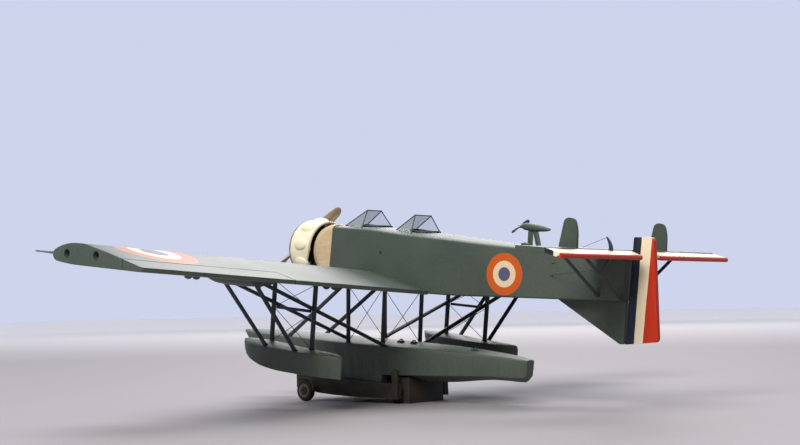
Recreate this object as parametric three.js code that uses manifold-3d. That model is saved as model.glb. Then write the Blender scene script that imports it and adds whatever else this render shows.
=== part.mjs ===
// Scale model of a two-seat, strut-braced float monoplane standing on its beaching dolly.
// The aeroplane is laid out in its own datum: millimetres, +X to the nose, +Y to port, +Z up.
// park() then pitches it nose up and sets it over the floor, where the dolly is laid out directly.
import * as THREE from 'three';
import Module from 'manifold-3d';
import { mergeVertices } from 'three/addons/utils/BufferGeometryUtils.js';

const wasm = await Module();
wasm.setup();

// Attitude on the dolly
const PARK_PITCH = 6 * Math.PI / 180;
const PARK_X = 2.0;
const WHEEL_DATUM_X = 26.9;

// Wing
const HALF_SPAN = 83.3;
const CHORD = 25.6;
const WING_TE_X = -4.6;
const WING_TE_Z = 27.1;
const WING_TIP_TE_Z = 31.41;
const AILERON_INNER_Y = 46;
const AILERON_HINGE_X = 1.1;
const AILERON_GAP = 0.3;
const PITOT_LENGTH = 6.2;
const PITOT_RADIUS = 0.3;
const TIP_HOLE_RADIUS = 0.84;
const TIP_HOLE_DEPTH = 1.2;

// Fuselage
const FUSELAGE_HALF_WIDTH = 6.5;
const BULKHEAD_X = 24.6;
const STERNPOST_X = -50.0;
const FUSELAGE_BOTTOM_Z = 26.85;
const WELL_FLOOR_Z = 32.5;
const WELL_TOP_Z = 41.5;

// Engine and cowl
const THRUST_Z = 34.2;
const COWL_FRONT_X = 38.3;
const COWL_REAR_X = 31.1;
const COWL_RADIUS = 6.63;
const COWL_WALL = 0.5;
const CYLINDERS = 9;
const CYLINDER_X = 34.2;
const BLISTER_RADIUS = 1.5;
const PROP_X = 40.6;
const PROP_RADIUS = 16.7;
const PROP_REST_ANGLE = 36 * Math.PI / 180;

// Floats
const MAIN_FLOAT_BOW_X = 57.1;
const OUTER_FLOAT_Y = 30.1;

// Tail
const TAIL_HALF_SPAN = 31.1;
const TAIL_LE_X = -44.2;
const ELEVATOR_HINGE_X = -51.2;
const TAIL_TE_X = -54.87;
const TAIL_BOTTOM_Z = 38.25;
const TAIL_THICKNESS = 0.95;
const ELEVATOR_GAP = 0.12;
const ELEVATOR_DROOP = 0.72;
const AUX_FIN_Y = 16.5;
const HORN_Y = 10.2;
const RUDDER_HINGE_X = -50.25;

// Dolly
const DOLLY_WHEEL_RADIUS = 2.4;
const DOLLY_WHEEL_WIDTH = 1.4;
const DOLLY_WHEEL_Y = 9.3;
const DOLLY_AXLE_X = 28.4;
const DOLLY_AXLE_RADIUS = 0.45;
const PLANK_INNER_Y = 7.35;
const PLANK_OUTER_Y = 8.0;
const BLOCK_REAR_X = 0.7;
const BLOCK_FRONT_X = 5.1;
const BLOCK_HALF_WIDTH = 5.87;
const BLOCK_HEIGHT = 5.6;

// Clearance between neighbours that rest on each other
const SEAT = 0.05;
const DECK_GAP = 0.14;

const group = new THREE.Group();

const PALETTE = {
  greyGreen: { color: 0x6f7d74, roughness: 0.6, metalness: 0 },
  slate: { color: 0x36424a, roughness: 0.5, metalness: 0 },
  ivory: { color: 0xe8e2c8, roughness: 0.4, metalness: 0 },
  tan: { color: 0xbfa888, roughness: 0.6, metalness: 0 },
  engine: { color: 0x2b2b2d, roughness: 0.5, metalness: 0.4 },
  propeller: { color: 0x6f5a44, roughness: 0.5, metalness: 0 },
  rudderPaint: { color: 0xe0d4a8, roughness: 0.6, metalness: 0 },
  pane: { color: 0xaab8bf, roughness: 0.1, metalness: 0, transparent: true, opacity: 0.45 },
  dolly: { color: 0x4a4038, roughness: 0.8, metalness: 0 },
  tyre: { color: 0x1d1d1e, roughness: 0.9, metalness: 0 },
};
const paint = Object.fromEntries(
  Object.entries(PALETTE).map(([name, look]) => [name, new THREE.MeshStandardMaterial(look)]));

// Solids

function signedVolume(geometry) {
  const position = geometry.getAttribute('position');
  const index = geometry.getIndex();
  const a = new THREE.Vector3();
  const b = new THREE.Vector3();
  const c = new THREE.Vector3();
  let volume = 0;
  for (let i = 0; i < index.count; i += 3) {
    a.fromBufferAttribute(position, index.getX(i));
    b.fromBufferAttribute(position, index.getX(i + 1));
    c.fromBufferAttribute(position, index.getX(i + 2));
    volume += a.dot(b.cross(c));
  }
  return volume / 6;
}

// A closed mesh with merged corners and its faces pointing out
function weld(geometry) {
  const bare = geometry.index ? geometry.toNonIndexed() : geometry.clone();
  bare.deleteAttribute('normal');
  bare.deleteAttribute('uv');
  const merged = mergeVertices(bare, 1e-5);
  if (signedVolume(merged) < 0) {
    const index = merged.getIndex();
    for (let i = 0; i < index.count; i += 3) {
      const first = index.getX(i);
      index.setX(i, index.getX(i + 1));
      index.setX(i + 1, first);
    }
  }
  return merged;
}

function solid(geometry) {
  const closed = weld(geometry);
  return new wasm.Manifold(new wasm.Mesh({
    numProp: 3,
    vertProperties: new Float32Array(closed.getAttribute('position').array),
    triVerts: new Uint32Array(closed.getIndex().array),
  }));
}

function surface(manifold) {
  const mesh = manifold.getMesh();
  const geometry = new THREE.BufferGeometry();
  geometry.setAttribute('position', new THREE.BufferAttribute(new Float32Array(mesh.vertProperties), 3));
  geometry.setIndex(new THREE.BufferAttribute(new Uint32Array(mesh.triVerts), 1));
  return geometry;
}

const join = (...geometries) => surface(geometries.map(solid).reduce((sum, next) => sum.add(next)));
const cut = (geometry, ...tools) => surface(tools.map(solid).reduce((rest, tool) => rest.subtract(tool), solid(geometry)));
const overlap = (geometry, other) => surface(solid(geometry).intersect(solid(other)));

function mirrored(geometry) {
  return geometry.clone().applyMatrix4(new THREE.Matrix4().makeScale(1, -1, 1));
}

// Skin through a row of closed rings with equal point counts, flat at both ends
function loft(rings) {
  const count = rings[0].length;
  const points = rings.flat();
  const faces = [];
  for (let r = 0; r < rings.length - 1; r += 1) {
    for (let i = 0; i < count; i += 1) {
      const j = (i + 1) % count;
      const near = r * count;
      const far = near + count;
      faces.push(near + i, near + j, far + j, near + i, far + j, far + i);
    }
  }
  const lastRing = (rings.length - 1) * count;
  for (let i = 1; i < count - 1; i += 1) {
    faces.push(0, i + 1, i);
    faces.push(lastRing, lastRing + i, lastRing + i + 1);
  }
  const geometry = new THREE.BufferGeometry();
  geometry.setAttribute('position', new THREE.Float32BufferAttribute(points.flat(), 3));
  geometry.setIndex(faces);
  return weld(geometry);
}

function box(x0, x1, y0, y1, z0, z1) {
  return new THREE.BoxGeometry(x1 - x0, y1 - y0, z1 - z0)
    .translate((x0 + x1) / 2, (y0 + y1) / 2, (z0 + z1) / 2);
}

// Outline in X and Z, extruded from y0 to y1
function plate(outline, y0, y1, curveSegments = 8) {
  const shape = outline instanceof THREE.Shape
    ? outline
    : new THREE.Shape(outline.map(([x, z]) => new THREE.Vector2(x, z)));
  return new THREE.ExtrudeGeometry(shape, { depth: y1 - y0, bevelEnabled: false, curveSegments })
    .rotateX(Math.PI / 2)
    .translate(0, y1, 0);
}

// Profile of axial place and radius, turned about a line along X at height z
function turnedAlongX(profile, z, segments = 32) {
  const points = profile.map(([x, radius]) => new THREE.Vector2(radius, x));
  return new THREE.LatheGeometry(points, segments).rotateZ(-Math.PI / 2).translate(0, 0, z);
}

function turnedAlongY(profile, x, z, segments = 32) {
  const points = profile.map(([y, radius]) => new THREE.Vector2(radius, y));
  return new THREE.LatheGeometry(points, segments).translate(x, 0, z);
}

// Nodes

function add(name, geometry, material) {
  const mesh = new THREE.Mesh(weld(geometry), material);
  mesh.name = name;
  group.add(mesh);
  return mesh;
}

// A point or solid of the aeroplane, parked on the dolly
const parkMatrix = new THREE.Matrix4().makeRotationY(-PARK_PITCH)
  .setPosition(PARK_X, 0, -WHEEL_DATUM_X * Math.sin(PARK_PITCH));

const park = (geometry) => geometry.clone().applyMatrix4(parkMatrix);
const addParked = (name, geometry, material) => add(name, park(geometry), material);

function addPair(name, portGeometry, material) {
  addParked(`${name}_port`, portGeometry, material);
  addParked(`${name}_starboard`, mirrored(portGeometry), material);
}

// Wing

const wingTeZ = (y) => WING_TE_Z
  + (Math.abs(y) - FUSELAGE_HALF_WIDTH) * (WING_TIP_TE_Z - WING_TE_Z) / (HALF_SPAN - FUSELAGE_HALF_WIDTH);
const wingUnderZ = (y) => wingTeZ(y) - 0.2;

function aerofoil() {
  const upper = new THREE.SplineCurve([
    [0, 0.12], [4.3, 1.1], [8.4, 2.05], [13.3, 3.0], [17.3, 3.55], [19.5, 3.5], [22.6, 2.9], [24.6, 2.2],
  ].map(([x, z]) => new THREE.Vector2(x, z))).getPoints(20);
  const nose = [[CHORD - 0.1, 1.6], [CHORD, 1.2], [CHORD - 0.2, 0.8], [CHORD - 0.9, 0.35], [CHORD - 2.2, 0.02]]
    .map(([x, z]) => new THREE.Vector2(x, z));
  const under = [[CHORD - 5.5, -0.2], [0.8, -0.2], [0, -0.12]].map(([x, z]) => new THREE.Vector2(x, z));
  return [...upper, ...nose, ...under];
}

function wingPanel() {
  const section = aerofoil();
  const ring = (y) => section.map(({ x, y: z }) => [WING_TE_X + x, y, wingTeZ(y) + z]);
  return loft([ring(FUSELAGE_HALF_WIDTH + SEAT), ring(HALF_SPAN)]);
}

const tipHole = (x, z) => new THREE.CylinderGeometry(TIP_HOLE_RADIUS, TIP_HOLE_RADIUS, 2 * TIP_HOLE_DEPTH, 16)
  .translate(x, HALF_SPAN, z);

const panel = wingPanel();
const aileronSpace = box(-20, AILERON_HINGE_X, AILERON_INNER_Y, HALF_SPAN + 5, 0, 60);
const wing = cut(panel, aileronSpace, tipHole(16.96, 32.85), tipHole(8.39, 33.0));
const aileron = overlap(panel,
  box(-20, AILERON_HINGE_X - AILERON_GAP, AILERON_INNER_Y + AILERON_GAP, HALF_SPAN + 5, 0, 60));
addPair('wing', wing, paint.greyGreen);
addPair('aileron', aileron, paint.greyGreen);

// Pitot at the port tip
const PITOT_ROOT_X = WING_TE_X + CHORD + 0.2;
const pitot = turnedAlongX([
  [0, 0], [0, PITOT_RADIUS], [PITOT_LENGTH - 0.5, PITOT_RADIUS], [PITOT_LENGTH, 0.12], [PITOT_LENGTH, 0],
], WING_TIP_TE_Z + 1.29, 10).translate(PITOT_ROOT_X, HALF_SPAN - 0.9, 0);
addParked('pitot_tube', pitot, paint.slate);

// Fuselage

const FUSELAGE_STATIONS = [
  // x, half width, edge height, crown height, bottom height
  [BULKHEAD_X, FUSELAGE_HALF_WIDTH, 39.75, 40.25, FUSELAGE_BOTTOM_Z],
  [14, FUSELAGE_HALF_WIDTH, 39.7, 40.2, FUSELAGE_BOTTOM_Z],
  [4, FUSELAGE_HALF_WIDTH, 39.05, 39.75, FUSELAGE_BOTTOM_Z],
  [-7, 6.42, 38.6, 39.5, 26.95],
  [-25, 5.85, 38.2, 38.8, 27.85],
  [-42, 3.6, 38.05, 38.2, 28.75],
  [STERNPOST_X, 1.9, 38.0, 38.05, 29.2],
];
const CROWN_STEPS = [-0.75, -0.4, 0, 0.4, 0.75];

function fuselageRing([x, halfWidth, edgeZ, crownZ, bottomZ]) {
  const crown = CROWN_STEPS.map((share) => [x, -share * halfWidth, edgeZ + (crownZ - edgeZ) * (1 - share * share)]);
  return [
    [x, -halfWidth, bottomZ], [x, -halfWidth, edgeZ],
    ...crown.reverse(),
    [x, halfWidth, edgeZ], [x, halfWidth, bottomZ],
  ];
}

const COCKPITS = [
  // centre x, half length, half width
  [16.3, 3.1, 3.2],
  [2.2, 3.1, 3.2],
];
const cockpitWell = ([x, halfLength, halfWidth]) => new THREE.CylinderGeometry(1, 1, WELL_TOP_Z - WELL_FLOOR_Z, 24)
  .rotateX(Math.PI / 2)
  .scale(halfLength, halfWidth, 1)
  .translate(x, 0, (WELL_TOP_Z + WELL_FLOOR_Z) / 2);
addParked('fuselage', cut(loft(FUSELAGE_STATIONS.map(fuselageRing)), ...COCKPITS.map(cockpitWell)), paint.greyGreen);

// Fairing from the square bulkhead to the round engine mount
function noseFairing() {
  const steps = 40;
  const halfHeight = 6.35;
  const bulkheadMiddleZ = 33.4;
  const ring = (x, squareness, radius) => Array.from({ length: steps }, (_, i) => {
    const angle = (i + 0.5) * 2 * Math.PI / steps;
    const cos = Math.cos(angle);
    const sin = Math.sin(angle);
    const toSquare = 1 / Math.max(Math.abs(cos) / FUSELAGE_HALF_WIDTH, Math.abs(sin) / halfHeight);
    const reach = squareness * toSquare + (1 - squareness) * radius;
    return [x, reach * cos, squareness * bulkheadMiddleZ + (1 - squareness) * THRUST_Z + reach * sin];
  });
  return loft([
    ring(BULKHEAD_X + SEAT, 0.97, 6.3), ring(27.0, 0.6, 6.4), ring(29.2, 0.15, 6.2), ring(30.4, 0, 5.7),
  ]);
}
addParked('nose_fairing', noseFairing(), paint.tan);

// Radial engine

function engine() {
  const parts = [turnedAlongX([
    [30.4 + SEAT, 0], [30.4 + SEAT, 2.6], [36.2, 2.6], [37.2, 1.9], [38.4, 1.3], [39.5, 0.9], [39.5, 0],
  ], THRUST_Z, 24)];
  for (let i = 0; i < CYLINDERS; i += 1) {
    const angle = i * 2 * Math.PI / CYLINDERS;
    parts.push(new THREE.CylinderGeometry(1.25, 1.25, 4.2, 14)
      .translate(0, 3.9, 0)
      .rotateX(Math.PI / 2)
      .rotateX(angle)
      .translate(CYLINDER_X, 0, THRUST_Z));
  }
  return overlap(join(...parts), turnedAlongX([[29, 0], [29, 6.04], [42, 6.04], [42, 0]], THRUST_Z, 48));
}
addParked('engine', engine(), paint.engine);

// Ring cowl with a blister over every cylinder head
function cowl() {
  const inner = COWL_RADIUS - COWL_WALL;
  const ring = turnedAlongX([
    [COWL_REAR_X, inner], [COWL_REAR_X, COWL_RADIUS - 0.15], [COWL_REAR_X + 0.4, COWL_RADIUS],
    [COWL_FRONT_X - 2, COWL_RADIUS], [COWL_FRONT_X - 0.7, COWL_RADIUS - 0.25],
    [COWL_FRONT_X - 0.1, COWL_RADIUS - 0.8], [COWL_FRONT_X, COWL_RADIUS - 1.15],
    [COWL_FRONT_X - 0.25, COWL_RADIUS - 1.3], [COWL_FRONT_X - 0.7, COWL_RADIUS - 1.1],
    [COWL_FRONT_X - 1.3, inner], [COWL_REAR_X, inner],
  ], THRUST_Z, 54);
  const blisters = Array.from({ length: CYLINDERS }, (_, i) => new THREE.SphereGeometry(BLISTER_RADIUS, 14, 10)
    .scale(1, 1, 0.5)
    .translate(0, 0, COWL_RADIUS - 0.13)
    .rotateX(i * 2 * Math.PI / CYLINDERS)
    .translate(CYLINDER_X + 0.2, 0, THRUST_Z));
  const bore = turnedAlongX([[25, 0], [25, inner], [45, inner], [45, 0]], THRUST_Z, 54);
  const outside = blisters.map((blister) => cut(blister, bore));
  return join(ring, ...outside);
}
addParked('ring_cowl', cowl(), paint.ivory);

// Propeller: two blades with rounded tips on a hub

function blade(radius, rootWidth, maxWidth, thickness, x) {
  const stations = [
    // share of the radius, share of the widest chord, share of the thickest section, twist in degrees
    [0.06, rootWidth / maxWidth, 1.0, 62], [0.25, 0.85, 0.8, 50], [0.5, 1.0, 0.55, 32],
    [0.75, 0.98, 0.4, 22], [0.9, 0.9, 0.32, 17], [0.97, 0.66, 0.25, 16], [1.0, 0.3, 0.2, 15],
  ];
  const rings = stations.map(([share, widthShare, thickShare, twist]) => {
    const turn = twist * Math.PI / 180;
    const halfWidth = maxWidth * widthShare / 2;
    const halfThick = thickness * thickShare / 2;
    return Array.from({ length: 10 }, (_, i) => {
      const a = i * 2 * Math.PI / 10;
      const w = halfWidth * Math.cos(a);
      const t = halfThick * Math.sin(a);
      return [x + w * Math.sin(turn) + t * Math.cos(turn), w * Math.cos(turn) - t * Math.sin(turn), share * radius];
    });
  });
  return loft(rings);
}

function twoBladed(radius, hubProfile, bladeSize, x, z, angle) {
  const one = blade(radius, ...bladeSize, x);
  const other = one.clone().rotateX(Math.PI);
  return join(turnedAlongX(hubProfile, 0, 20), one, other)
    .rotateX(angle)
    .translate(0, 0, z);
}
const propeller = twoBladed(PROP_RADIUS,
  [[39.6, 0], [39.6, 1.15], [41.2, 1.15], [41.9, 0.7], [42.1, 0]],
  [1.3, 2.6, 1.1], PROP_X, THRUST_Z, Math.PI / 2 - PROP_REST_ANGLE);
addParked('propeller', propeller, paint.propeller);

// Floats

function floatRing([x, halfBeam, edgeZ, crownZ, chineHalf, chineZ, keelZ]) {
  const crown = CROWN_STEPS.map((share) => [x, share * halfBeam, edgeZ + (crownZ - edgeZ) * (1 - share * share)]);
  return [
    [x, 0, keelZ], [x, -chineHalf, chineZ], [x, -halfBeam, edgeZ],
    ...crown,
    [x, halfBeam, edgeZ], [x, chineHalf, chineZ],
  ];
}

const MAIN_FLOAT_STATIONS = [
  // x, half beam, edge height, crown height, chine half width, chine height, keel height
  [MAIN_FLOAT_BOW_X, 0.5, 12.9, 13.1, 0.35, 12.4, 12.1],
  [55, 1.9, 12.9, 13.35, 1.4, 11.3, 10.4],
  [51, 3.5, 12.95, 13.65, 2.9, 10.1, 8.6],
  [45, 5.1, 13.2, 14.1, 4.5, 8.6, 6.6],
  [34, 6.7, 13.6, 14.6, 6.3, 7.2, 5.1],
  [20, 7.2, 14.0, 15.1, 6.9, 6.4, 4.6],
  [6.6, 7.2, 14.5, 15.5, 6.9, 6.2, 4.3],
  [6.4, 7.2, 14.5, 15.5, 6.88, 8.3, 6.5],
  [-8, 6.2, 15.1, 15.85, 5.9, 9.8, 8.15],
  [-20, 3.9, 15.25, 15.75, 3.6, 11.0, 10.05],
  [-27.4, 1.5, 15.1, 15.25, 1.35, 11.5, 10.5],
  [-27.8, 1.3, 15.0, 15.15, 1.1, 11.8, 11.0],
];
const OUTER_FLOAT_STATIONS = [
  [25.1, 0.35, 15.0, 15.2, 0.25, 14.6, 14.3],
  [24.5, 1.2, 14.85, 15.25, 0.9, 13.5, 12.9],
  [23.2, 2.1, 14.7, 15.35, 1.7, 12.2, 11.6],
  [20.5, 3.0, 14.55, 15.4, 2.6, 11.1, 10.6],
  [16, 3.6, 14.4, 15.25, 3.3, 10.2, 9.85],
  [10.9, 3.75, 14.3, 14.9, 3.45, 9.85, 9.55],
  [6.5, 3.65, 14.25, 14.65, 3.35, 9.8, 9.5],
  [1.5, 2.9, 14.2, 14.55, 2.65, 9.75, 9.5],
  [-1.2, 1.5, 14.15, 14.45, 1.3, 9.7, 9.5],
  [-2.6, 0.5, 14.0, 14.25, 0.4, 9.65, 9.45],
  [-2.9, 0.2, 13.5, 13.6, 0.15, 9.7, 9.5],
];
const mainFloat = loft(MAIN_FLOAT_STATIONS.map(floatRing));
addParked('main_float', mainFloat, paint.greyGreen);
addPair('outer_float', loft(OUTER_FLOAT_STATIONS.map(floatRing)).translate(0, OUTER_FLOAT_Y, 0), paint.greyGreen);

// Height of a float's cambered deck at x, y
function deckZ(stations, x, y) {
  const next = stations.findIndex(([stationX]) => stationX <= x);
  const [x0, beam0, edge0, crown0] = stations[next - 1];
  const [x1, beam1, edge1, crown1] = stations[next];
  const share = (x0 - x) / (x0 - x1);
  const beam = beam0 + (beam1 - beam0) * share;
  const edge = edge0 + (edge1 - edge0) * share;
  const crown = crown0 + (crown1 - crown0) * share;
  return edge + (crown - edge) * (1 - Math.min(1, (y / beam) ** 2));
}

// Struts of streamlined section, each end cut to lie along what it meets

// The place where a line of the strut's skin reaches its seat
function slide(point, axis, seat) {
  const step = 0.01;
  const at = (travel) => point.clone().addScaledVector(axis, travel);
  let travel = 0;
  for (let i = 0; i < 20; i += 1) {
    const here = seat(at(travel));
    travel -= here * step / (seat(at(travel + step)) - here);
  }
  return at(travel);
}

function strut(foot, head, footSeat, headSeat, chord, width) {
  const from = new THREE.Vector3(...foot);
  const to = new THREE.Vector3(...head);
  const axis = to.clone().sub(from).normalize();
  const along = new THREE.Vector3(1, 0, 0).addScaledVector(axis, -axis.x).normalize();
  const across = axis.clone().cross(along);
  const ring = (end, seat) => Array.from({ length: 12 }, (_, i) => {
    const angle = i * 2 * Math.PI / 12;
    const corner = end.clone()
      .addScaledVector(along, chord / 2 * Math.cos(angle))
      .addScaledVector(across, width / 2 * Math.sin(angle));
    return slide(corner, axis, seat).toArray();
  });
  return loft([ring(from, footSeat), ring(to, headSeat)]);
}

const FAIRING_BOTTOM_Z = 27.4;
const UPRIGHT_Y = 6.2;
const UPRIGHT_WIDTH = 0.8;
const FLOAT_STRUT_Y = 29.4;

// Seats: each gives how far a point lies past the surface that the strut ends on
const onMainDeck = ({ x, y, z }) => z - deckZ(MAIN_FLOAT_STATIONS, x, y) - DECK_GAP;
const onOuterDeck = ({ x, y, z }) => z - deckZ(OUTER_FLOAT_STATIONS, x, y - OUTER_FLOAT_Y) - DECK_GAP;
const underWing = ({ y, z }) => z - wingUnderZ(y) + SEAT;
const underFairing = ({ z }) => z - FAIRING_BOTTOM_Z + SEAT;
const underFuselage = ({ z }) => z - FUSELAGE_BOTTOM_Z + SEAT;
const onUpright = ({ y }) => y - (UPRIGHT_Y + UPRIGHT_WIDTH / 2 + SEAT);

const STRUTS = {
  // foot, head, foot seat, head seat, chord, width
  fuselage_strut_front: [[17.9, UPRIGHT_Y, 14.3], [17.9, UPRIGHT_Y, 26.8], onMainDeck, underFuselage, 1.35],
  fuselage_strut_rear: [[7.0, UPRIGHT_Y, 14.7], [7.3, UPRIGHT_Y, 26.8], onMainDeck, underFuselage, 1.35],
  nose_strut: [[36.2, 5.95, 13.8], [19.8, 6.1, 26.8], onMainDeck, underFuselage, 1.1],
  wing_strut_front: [[17.8, 6.65, 14.8], [17.4, 42.6, 27.35], onUpright, underFairing, 1.45, 0.95],
  wing_strut_rear: [[6.2, 6.65, 15.1], [7.2, 42.6, 27.35], onUpright, underFairing, 1.45, 0.95],
  float_strut_front: [[18.1, FLOAT_STRUT_Y, 15.4], [18.1, FLOAT_STRUT_Y, 28.1], onOuterDeck, underWing, 1.35],
  float_strut_rear: [[6.3, FLOAT_STRUT_Y, 14.6], [6.15, FLOAT_STRUT_Y, 28.1], onOuterDeck, underWing, 1.35],
  float_brace_front: [[16.4, 32.9, 14.8], [16.2, 45.4, 27.35], onOuterDeck, underFairing, 1.2],
  float_brace_rear: [[7.7, 32.9, 14.5], [7.0, 45.4, 27.35], onOuterDeck, underFairing, 1.2],
};
const strutOf = (name, extra = 0) => {
  const [foot, head, footSeat, headSeat, chord, width = UPRIGHT_WIDTH] = STRUTS[name];
  return strut(foot, head, footSeat, headSeat, chord + extra, width + extra);
};

// Halving joints: each wing strut and the float strut that it crosses lie in one plane and are notched
const LAPS = {
  // joint plane x, side of it that the wing strut keeps
  front: [17.83, -1],
  rear: [6.55, 1],
};
const beyond = (fromX, side, halfWidth) => box(Math.min(fromX, fromX + 5 * side), Math.max(fromX, fromX + 5 * side),
  FLOAT_STRUT_Y - halfWidth, FLOAT_STRUT_Y + halfWidth, 10, 35);
for (const [place, [planeX, side]] of Object.entries(LAPS)) {
  const wingStrut = cut(strutOf(`wing_strut_${place}`), beyond(planeX, -side, UPRIGHT_WIDTH / 2 + SEAT));
  const passing = overlap(strutOf(`wing_strut_${place}`, 2 * SEAT), beyond(planeX - side * SEAT, side, 2));
  addPair(`wing_strut_${place}`, wingStrut, paint.slate);
  addPair(`float_strut_${place}`, cut(strutOf(`float_strut_${place}`), passing), paint.slate);
}
for (const name of Object.keys(STRUTS)) {
  if (!/^(wing|float)_strut/.test(name)) {
    addPair(name, strutOf(name), paint.slate);
  }
}

// Spreader bar between the two joints
const SPREADER_Z = 22.45;
const SPREADER_FROM_X = 7.65;
const SPREADER_TO_X = 16.75;
const spreader = turnedAlongX([
  [SPREADER_FROM_X, 0], [SPREADER_FROM_X, 0.3], [SPREADER_TO_X, 0.3], [SPREADER_TO_X, 0],
], SPREADER_Z, 10).translate(0, FLOAT_STRUT_Y, 0);
addPair('float_spreader', spreader, paint.slate);

// Wedge fairing under the wing that takes the heads of the braces
const FAIRING_INNER_Y = 40.9;
const FAIRING_OUTER_Y = 48.5;
function strutFairing() {
  const ring = (y) => [
    [4.9, y, wingUnderZ(y) - SEAT], [5.9, y, FAIRING_BOTTOM_Z], [18.3, y, FAIRING_BOTTOM_Z],
    [19.6, y, wingUnderZ(y) - SEAT],
  ];
  return loft([ring(FAIRING_INNER_Y), ring(FAIRING_OUTER_Y)]);
}
addPair('strut_fairing', strutFairing(), paint.greyGreen);

// Tailplane, elevators and fins

const RUDDER_CLEARANCE_Y = 2.1;
const tailOutline = [
  [TAIL_LE_X, 0], [TAIL_LE_X, TAIL_HALF_SPAN - 0.6], [TAIL_LE_X - 0.5, TAIL_HALF_SPAN],
  [ELEVATOR_HINGE_X + ELEVATOR_GAP, TAIL_HALF_SPAN], [ELEVATOR_HINGE_X + ELEVATOR_GAP, RUDDER_CLEARANCE_Y],
  [RUDDER_HINGE_X + 0.4, RUDDER_CLEARANCE_Y], [RUDDER_HINGE_X + 0.4, 0],
];
// Outline in X and Y, extruded upwards
function flat(outline, z0, z1) {
  const shape = new THREE.Shape(outline.map(([x, y]) => new THREE.Vector2(x, y)));
  return new THREE.ExtrudeGeometry(shape, { depth: z1 - z0, bevelEnabled: false }).translate(0, 0, z0);
}
const tailTopZ = TAIL_BOTTOM_Z + TAIL_THICKNESS;
const halfTail = flat(tailOutline, TAIL_BOTTOM_Z, tailTopZ);
addParked('tailplane', join(halfTail, mirrored(halfTail)), paint.greyGreen);

// Elevators hang a little below the line of the tailplane; their inner ends are cut away for the rudder
function elevatorPanel() {
  const droop = (x) => ELEVATOR_DROOP * (ELEVATOR_HINGE_X - x) / (ELEVATOR_HINGE_X - TAIL_TE_X);
  const ring = (y, trailingX) => [
    [ELEVATOR_HINGE_X, y, TAIL_BOTTOM_Z + 0.12], [ELEVATOR_HINGE_X, y, tailTopZ - 0.12],
    [trailingX, y, tailTopZ - 0.12 - droop(trailingX)], [trailingX, y, TAIL_BOTTOM_Z + 0.12 - droop(trailingX)],
  ];
  return loft([
    ring(RUDDER_CLEARANCE_Y, ELEVATOR_HINGE_X - 0.2), ring(4.6, TAIL_TE_X),
    ring(TAIL_HALF_SPAN - 0.4, TAIL_TE_X), ring(TAIL_HALF_SPAN, TAIL_TE_X + 0.4),
  ]);
}

// Control horn: a crescent standing through the port elevator just behind its hinge
function horn() {
  const shape = new THREE.Shape();
  const tip = { x: -50.9, z: 41.5 };
  const foot = { x: -50.6, z: 35.3 };
  const middleZ = (tip.z + foot.z) / 2 + 0.6;
  shape.moveTo(tip.x, tip.z);
  shape.quadraticCurveTo(-52.6, middleZ, foot.x, foot.z);
  shape.lineTo(foot.x - 0.25, foot.z - 0.05);
  shape.quadraticCurveTo(-54.4, middleZ, tip.x - 0.25, tip.z + 0.05);
  shape.lineTo(tip.x, tip.z);
  return plate(shape, HORN_Y - 0.2, HORN_Y + 0.2, 10);
}
addParked('elevator_port', join(elevatorPanel(), horn()), paint.rudderPaint);
addParked('elevator_starboard', mirrored(elevatorPanel()), paint.rudderPaint);

// Outline with straight sides from x0 and x1 at the foot up to a round top
function roundTopped(x0, x1, z0, z1, middle, radius) {
  const shape = new THREE.Shape();
  shape.moveTo(x0, z0);
  shape.lineTo(x1, z0);
  shape.lineTo(middle + radius, z1 - radius);
  shape.absarc(middle, z1 - radius, radius, 0, Math.PI, false);
  shape.lineTo(x0, z0);
  return shape;
}
const auxFin = plate(roundTopped(-48.7, -44.3, tailTopZ + SEAT, 44.75, -46.95, 1.55),
  AUX_FIN_Y - 0.35, AUX_FIN_Y + 0.35);
addPair('auxiliary_fin', auxFin, paint.greyGreen);

// Ventral fin under the stern
const fuselageBottomZ = (x) => {
  const next = FUSELAGE_STATIONS.findIndex(([stationX]) => stationX <= x);
  const [x0, , , , z0] = FUSELAGE_STATIONS[next - 1];
  const [x1, , , , z1] = FUSELAGE_STATIONS[next];
  return z0 + (z1 - z0) * (x0 - x) / (x0 - x1);
};
const FIN_FRONT_X = -33.5;
const FIN_REAR_X = STERNPOST_X + 0.1;
const FIN_FOOT_Z = 20.75;
const ventralFin = plate([
  [FIN_FRONT_X, fuselageBottomZ(FIN_FRONT_X) - SEAT], [-42, fuselageBottomZ(-42) - SEAT],
  [FIN_REAR_X, fuselageBottomZ(FIN_REAR_X) - SEAT],
  [FIN_REAR_X, FIN_FOOT_Z], [FIN_REAR_X + 1.1, FIN_FOOT_Z - 0.05],
], -0.6, 0.6);
addParked('ventral_fin', ventralFin, paint.greyGreen);

// Rudder
function rudderOutline() {
  const shape = new THREE.Shape();
  shape.moveTo(RUDDER_HINGE_X, FIN_FOOT_Z);
  shape.lineTo(RUDDER_HINGE_X - 0.5, 41.75);
  shape.lineTo(-54.9, 41.8);
  shape.quadraticCurveTo(-55.4, 41.7, -55.45, 41.1);
  shape.lineTo(-57.28, 22.8);
  shape.quadraticCurveTo(-57.3, 22.1, -56.7, 21.95);
  shape.lineTo(RUDDER_HINGE_X, FIN_FOOT_Z);
  return shape;
}
addParked('rudder', plate(rudderOutline(), -0.55, 0.55), paint.rudderPaint);

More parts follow.
